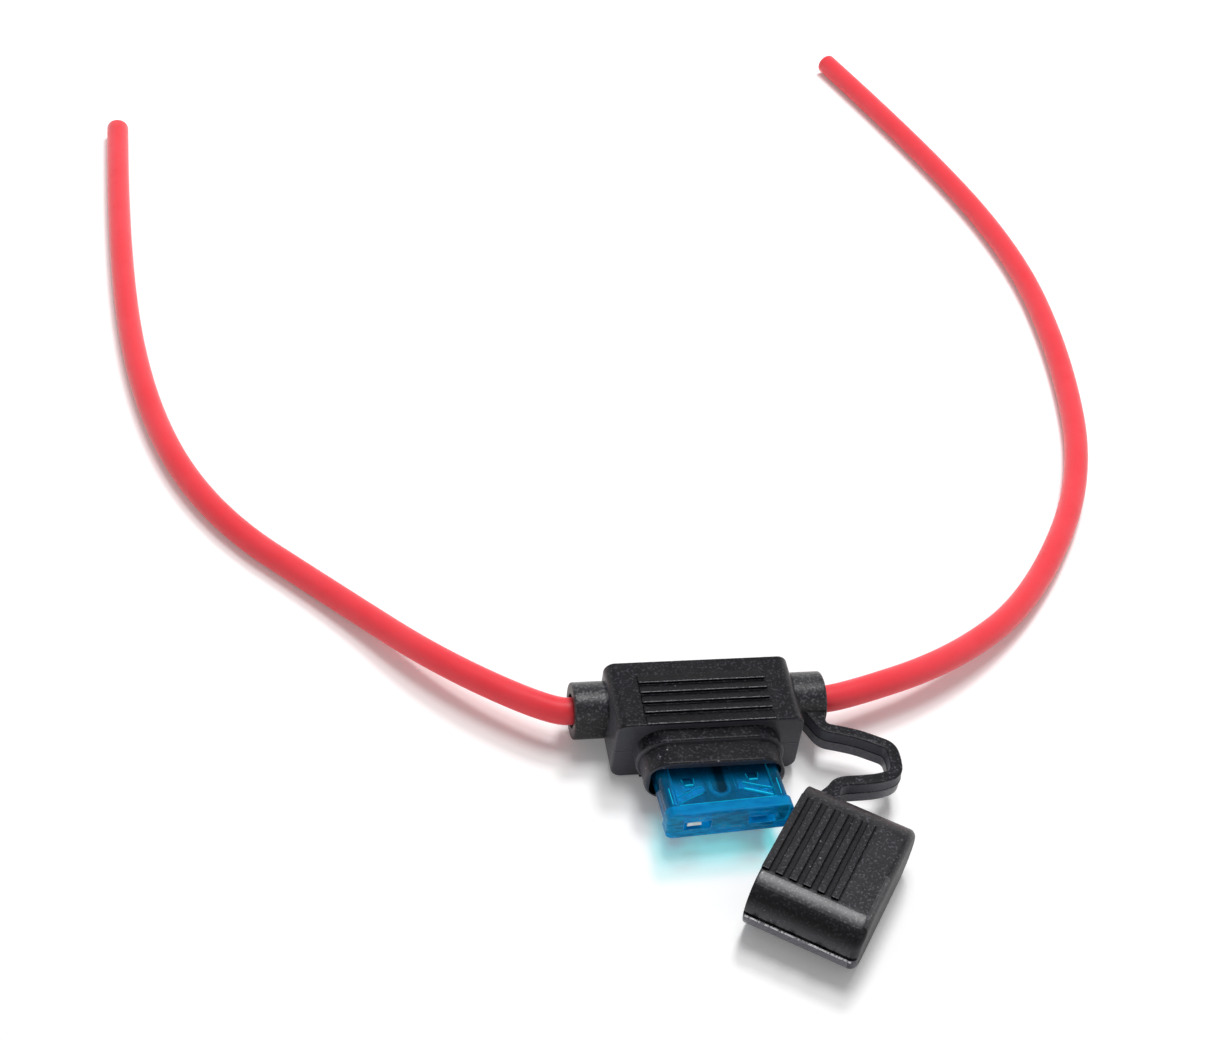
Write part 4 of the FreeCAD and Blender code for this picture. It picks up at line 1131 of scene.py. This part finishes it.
@dataclass
class Finishes:
    """Every finish of the holder, made once."""

    made: dict[str, Material] = field(default_factory=dict)

    def __post_init__(self) -> None:
        """Build all the materials."""
        recipes = (
            HousingMoulding("housing_vinyl"),
            # cap: painted glints, painted light on the walls and a painted highlight along the
            # crests
            CapMoulding(
                "cap_vinyl", parting=5.35 * MM, foot=4.88 * MM, crest=5.27 * MM,
                foot_reach=0.52 * MM, highlight_facing=(-0.569, -0.822, 0.0), glints=0.75,
                grain_depth=0.040 * MM, rough=0.42, gloss=0.50, edge_radius=0.24 * MM,
                crest_highlight=(0.30, 0.30, 0.33, 1.0), painted_wall_light=(0.135, 0.130, 0.155, 1.0)),
            # strap: painted glints and painted light on its walls
            SoftMoulding(
                "strap_vinyl", glints=0.9, grain_depth=0.036 * MM, edge_radius=0.10 * MM,
                painted_wall_light=(0.095, 0.092, 0.110, 1.0)),
            # burr: pale colours, glints and wall light are painted light that the thin flash
            # catches
            SoftMoulding(
                "burr_vinyl", black=(0.30, 0.30, 0.33, 1.0), pale=(0.75, 0.75, 0.78, 1.0),
                glint=(0.95, 0.95, 0.98, 1.0), glints=1.0, gloss=0.6, edge_radius=0.03 * MM,
                painted_wall_light=(0.70, 0.70, 0.73, 1.0)),
            TintedClear("fuse_clear_blue"),
            # ridges: a bright, mostly matt blue that paints the light gathered in the clear
            # plastic's edges
            TintedClear(
                "fuse_ridge_blue", tint=(0.01, 0.72, 1.0, 1.0), rough=0.16, clearness=0.10),
            PlatedSheet("fuse_plated", metal=(0.72, 0.74, 0.72, 1.0), rough=0.45),
            PlatedSheet("contact_plated", metal=(0.72, 0.66, 0.52, 1.0)),
            BareCopper("copper"),
            WireInsulation("wire_insulation"),
        )
        for recipe in recipes:
            self.made[recipe.name] = recipe.make()

    def __getitem__(self, name: str) -> Material:
        """The material of that name."""
        return self.made[name]


@dataclass
class CarriedNodes:
    """Rigid pieces that come from the frame and only need their finish."""

    finish_of: dict[str, str] = field(default_factory=lambda: {
        "housing": "housing_vinyl", "cap": "cap_vinyl", "fuse_body": "fuse_clear_blue",
        "fuse_strip": "fuse_plated", "contact_left": "contact_plated",
        "contact_right": "contact_plated", "conductor_left": "copper",
        "conductor_right": "copper"})

    def dress(self, nodes: dict[str, Thing], finishes: Finishes) -> None:
        """Put each node's finish in its slots."""
        for name, finish in self.finish_of.items():
            for slot in nodes[name].material_slots:
                slot.material = finishes[finish]
            LOG.info("%s wears %s", name, finish)


@dataclass
class Studio:
    """Camera, floor, lamps and sky."""

    eye: Triple = (-70.4852, -208.1311, 240.1277)
    right: Triple = (0.983441, -0.152332, 0.098175)
    down: Triple = (-0.031109, -0.675578, -0.736632)
    ahead: Triple = (0.178537, 0.721380, -0.669131)
    lens: float = 62.687
    sky: Colour = (0.30, 0.30, 0.30, 1.0)
    ceiling: Colour = (0.26, 0.26, 0.30, 1.0)
    paper: Colour = (0.96, 0.96, 0.96, 1.0)
    glow: Colour = (0.13, 0.13, 0.13, 1.0)
    glow_reach: Pair = (0.24, 0.80)
    floor_half: float = 3.0
    floor_level: float = -0.02 * MM

    def camera(self) -> None:
        """Place the camera as the photograph was taken."""
        data = bpy.data.cameras.new("camera")
        data.sensor_fit = "HORIZONTAL"
        data.sensor_width = 36.0
        data.lens = self.lens
        data.clip_start = 0.01
        data.clip_end = 20.0
        camera = linked("camera", data)
        axes = (Vector(self.right), -Vector(self.down), -Vector(self.ahead))
        turn = Matrix(axes).transposed().to_4x4()
        camera.matrix_world = Matrix.Translation(Vector(self.eye) * MM) @ turn
        bpy.context.scene.camera = camera

    def floor(self) -> None:
        """Lay the pale floor, which stays white to the camera and keeps shadows."""
        half = self.floor_half
        corners = [Vector((x * half, y * half, self.floor_level)) for x, y in (
            (-1, -1), (1, -1), (1, 1), (-1, 1))]
        mix = Recipe("floor_paper")
        paper = mix.node("ShaderNodeBsdfDiffuse", {}, {"Color": self.paper})
        reach = mix.node("ShaderNodeVectorMath", {"operation": "LENGTH"}, {0: mix.place()}, "Value")
        colour = mix.blend(reach.ramp(*self.glow_reach), self.glow, WHITE)
        glow = mix.node("ShaderNodeEmission", {}, {"Color": colour})
        none = mix.node("ShaderNodeEmission", {}, {"Strength": 0.0})
        lift = mix.layered(mix.seen(), none, glow)
        mix.show(mix.node("ShaderNodeAddShader", {}, {0: paper, 1: lift}))
        floor = Draft(corners, [(0, 1, 2, 3)]).piece("floor", mix.material, smooth=False)

    def sky_light(self) -> None:
        """Make the sky: white round the horizon, a dim ceiling, soft light on the part."""
        world = bpy.data.worlds.new("sky")
        world.use_nodes = True
        bpy.context.scene.world = world
        graph = NodeGraph(world.node_tree)
        way = graph.node("ShaderNodeTexCoord", result="Generated")
        height = graph.axis(way, "Z")
        backdrop = graph.blend(height.ramp(0.42, 0.66), WHITE, self.ceiling)
        colour = graph.blend(graph.seen(), self.sky, backdrop)
        back = graph.tree.nodes["Background"]
        graph.tree.links.new(colour.socket, back.inputs["Color"])

    def lamp(self, name: str, place: Triple, width: float, power: float, shiny: bool) -> None:
        """Hang one square soft box that faces the part.

        Args:
            name: Name of the lamp.
            place: Its position, in metres.
            width: Side of the box, in metres.
            power: Its power, in watts.
            shiny: Whether glossy surfaces show it.
        """
        data = bpy.data.lights.new(name, "AREA")
        data.size = width
        data.energy = power
        lamp = linked(name, data)
        lamp.location = place
        lamp.rotation_mode = "QUATERNION"
        lamp.rotation_quaternion = Vector(place).to_track_quat("Z", "Y")
        lamp.visible_glossy = shiny

    def build(self) -> None:
        """Set up the floor, sky and lamps; camera() places the camera."""
        bpy.context.scene.view_settings.view_transform = "Standard"
        self.floor()
        self.sky_light()
        self.lamp("overhead", (0.08, 0.24, 1.12), 0.42, 5.4, True)
        self.lamp("slanting", (0.24, 0.56, 0.96), 0.22, 4.8, False)
        LOG.info("studio ready")


LEFT_CONTROLS = [
    (-12.0, 2.1, 5.95), (-17.4, 2.1, 5.95), (-22.6, 2.1, 5.95), (-38.3, 14.4, 5.0),
    (-51.9, 31.4, 2.1), (-73.1, 53.4, 2.1), (-83.9, 83.8, 2.1), (-88.4, 130.0, 2.1),
    (-88.9, 170.8, 2.1)]
RIGHT_CONTROLS = [
    (12.0, 2.1, 5.95), (17.4, 2.1, 5.95), (22.6, 2.1, 5.95), (44.0, 10.1, 4.9),
    (63.2, 26.1, 2.1), (81.9, 55.6, 2.1), (89.0, 90.7, 2.1), (89.8, 125.2, 2.1),
    (79.9, 164.9, 2.1), (67.8, 198.6, 2.1)]


def main() -> None:
    """Build the scene round the frame."""
    logging.basicConfig(level=logging.INFO, format="%(message)s")
    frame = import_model()
    studio = Studio()
    studio.camera()
    finishes = Finishes()
    for side, controls, length in (
            (Side.LEFT, LEFT_CONTROLS, 203.6 * MM), (Side.RIGHT, RIGHT_CONTROLS, 239.7 * MM)):
        tail = WireTail(side, controls, length)
        tail.build(finishes["wire_insulation"], finishes["copper"])
    CarriedNodes().dress(frame["nodes"], finishes)
    CapStrap().build(finishes["strap_vinyl"])
    CapBurr().build(finishes["burr_vinyl"])
    FuseRidges().build(finishes["fuse_ridge_blue"], finishes["fuse_plated"])
    studio.build()


if __name__ == "__main__":
    main()
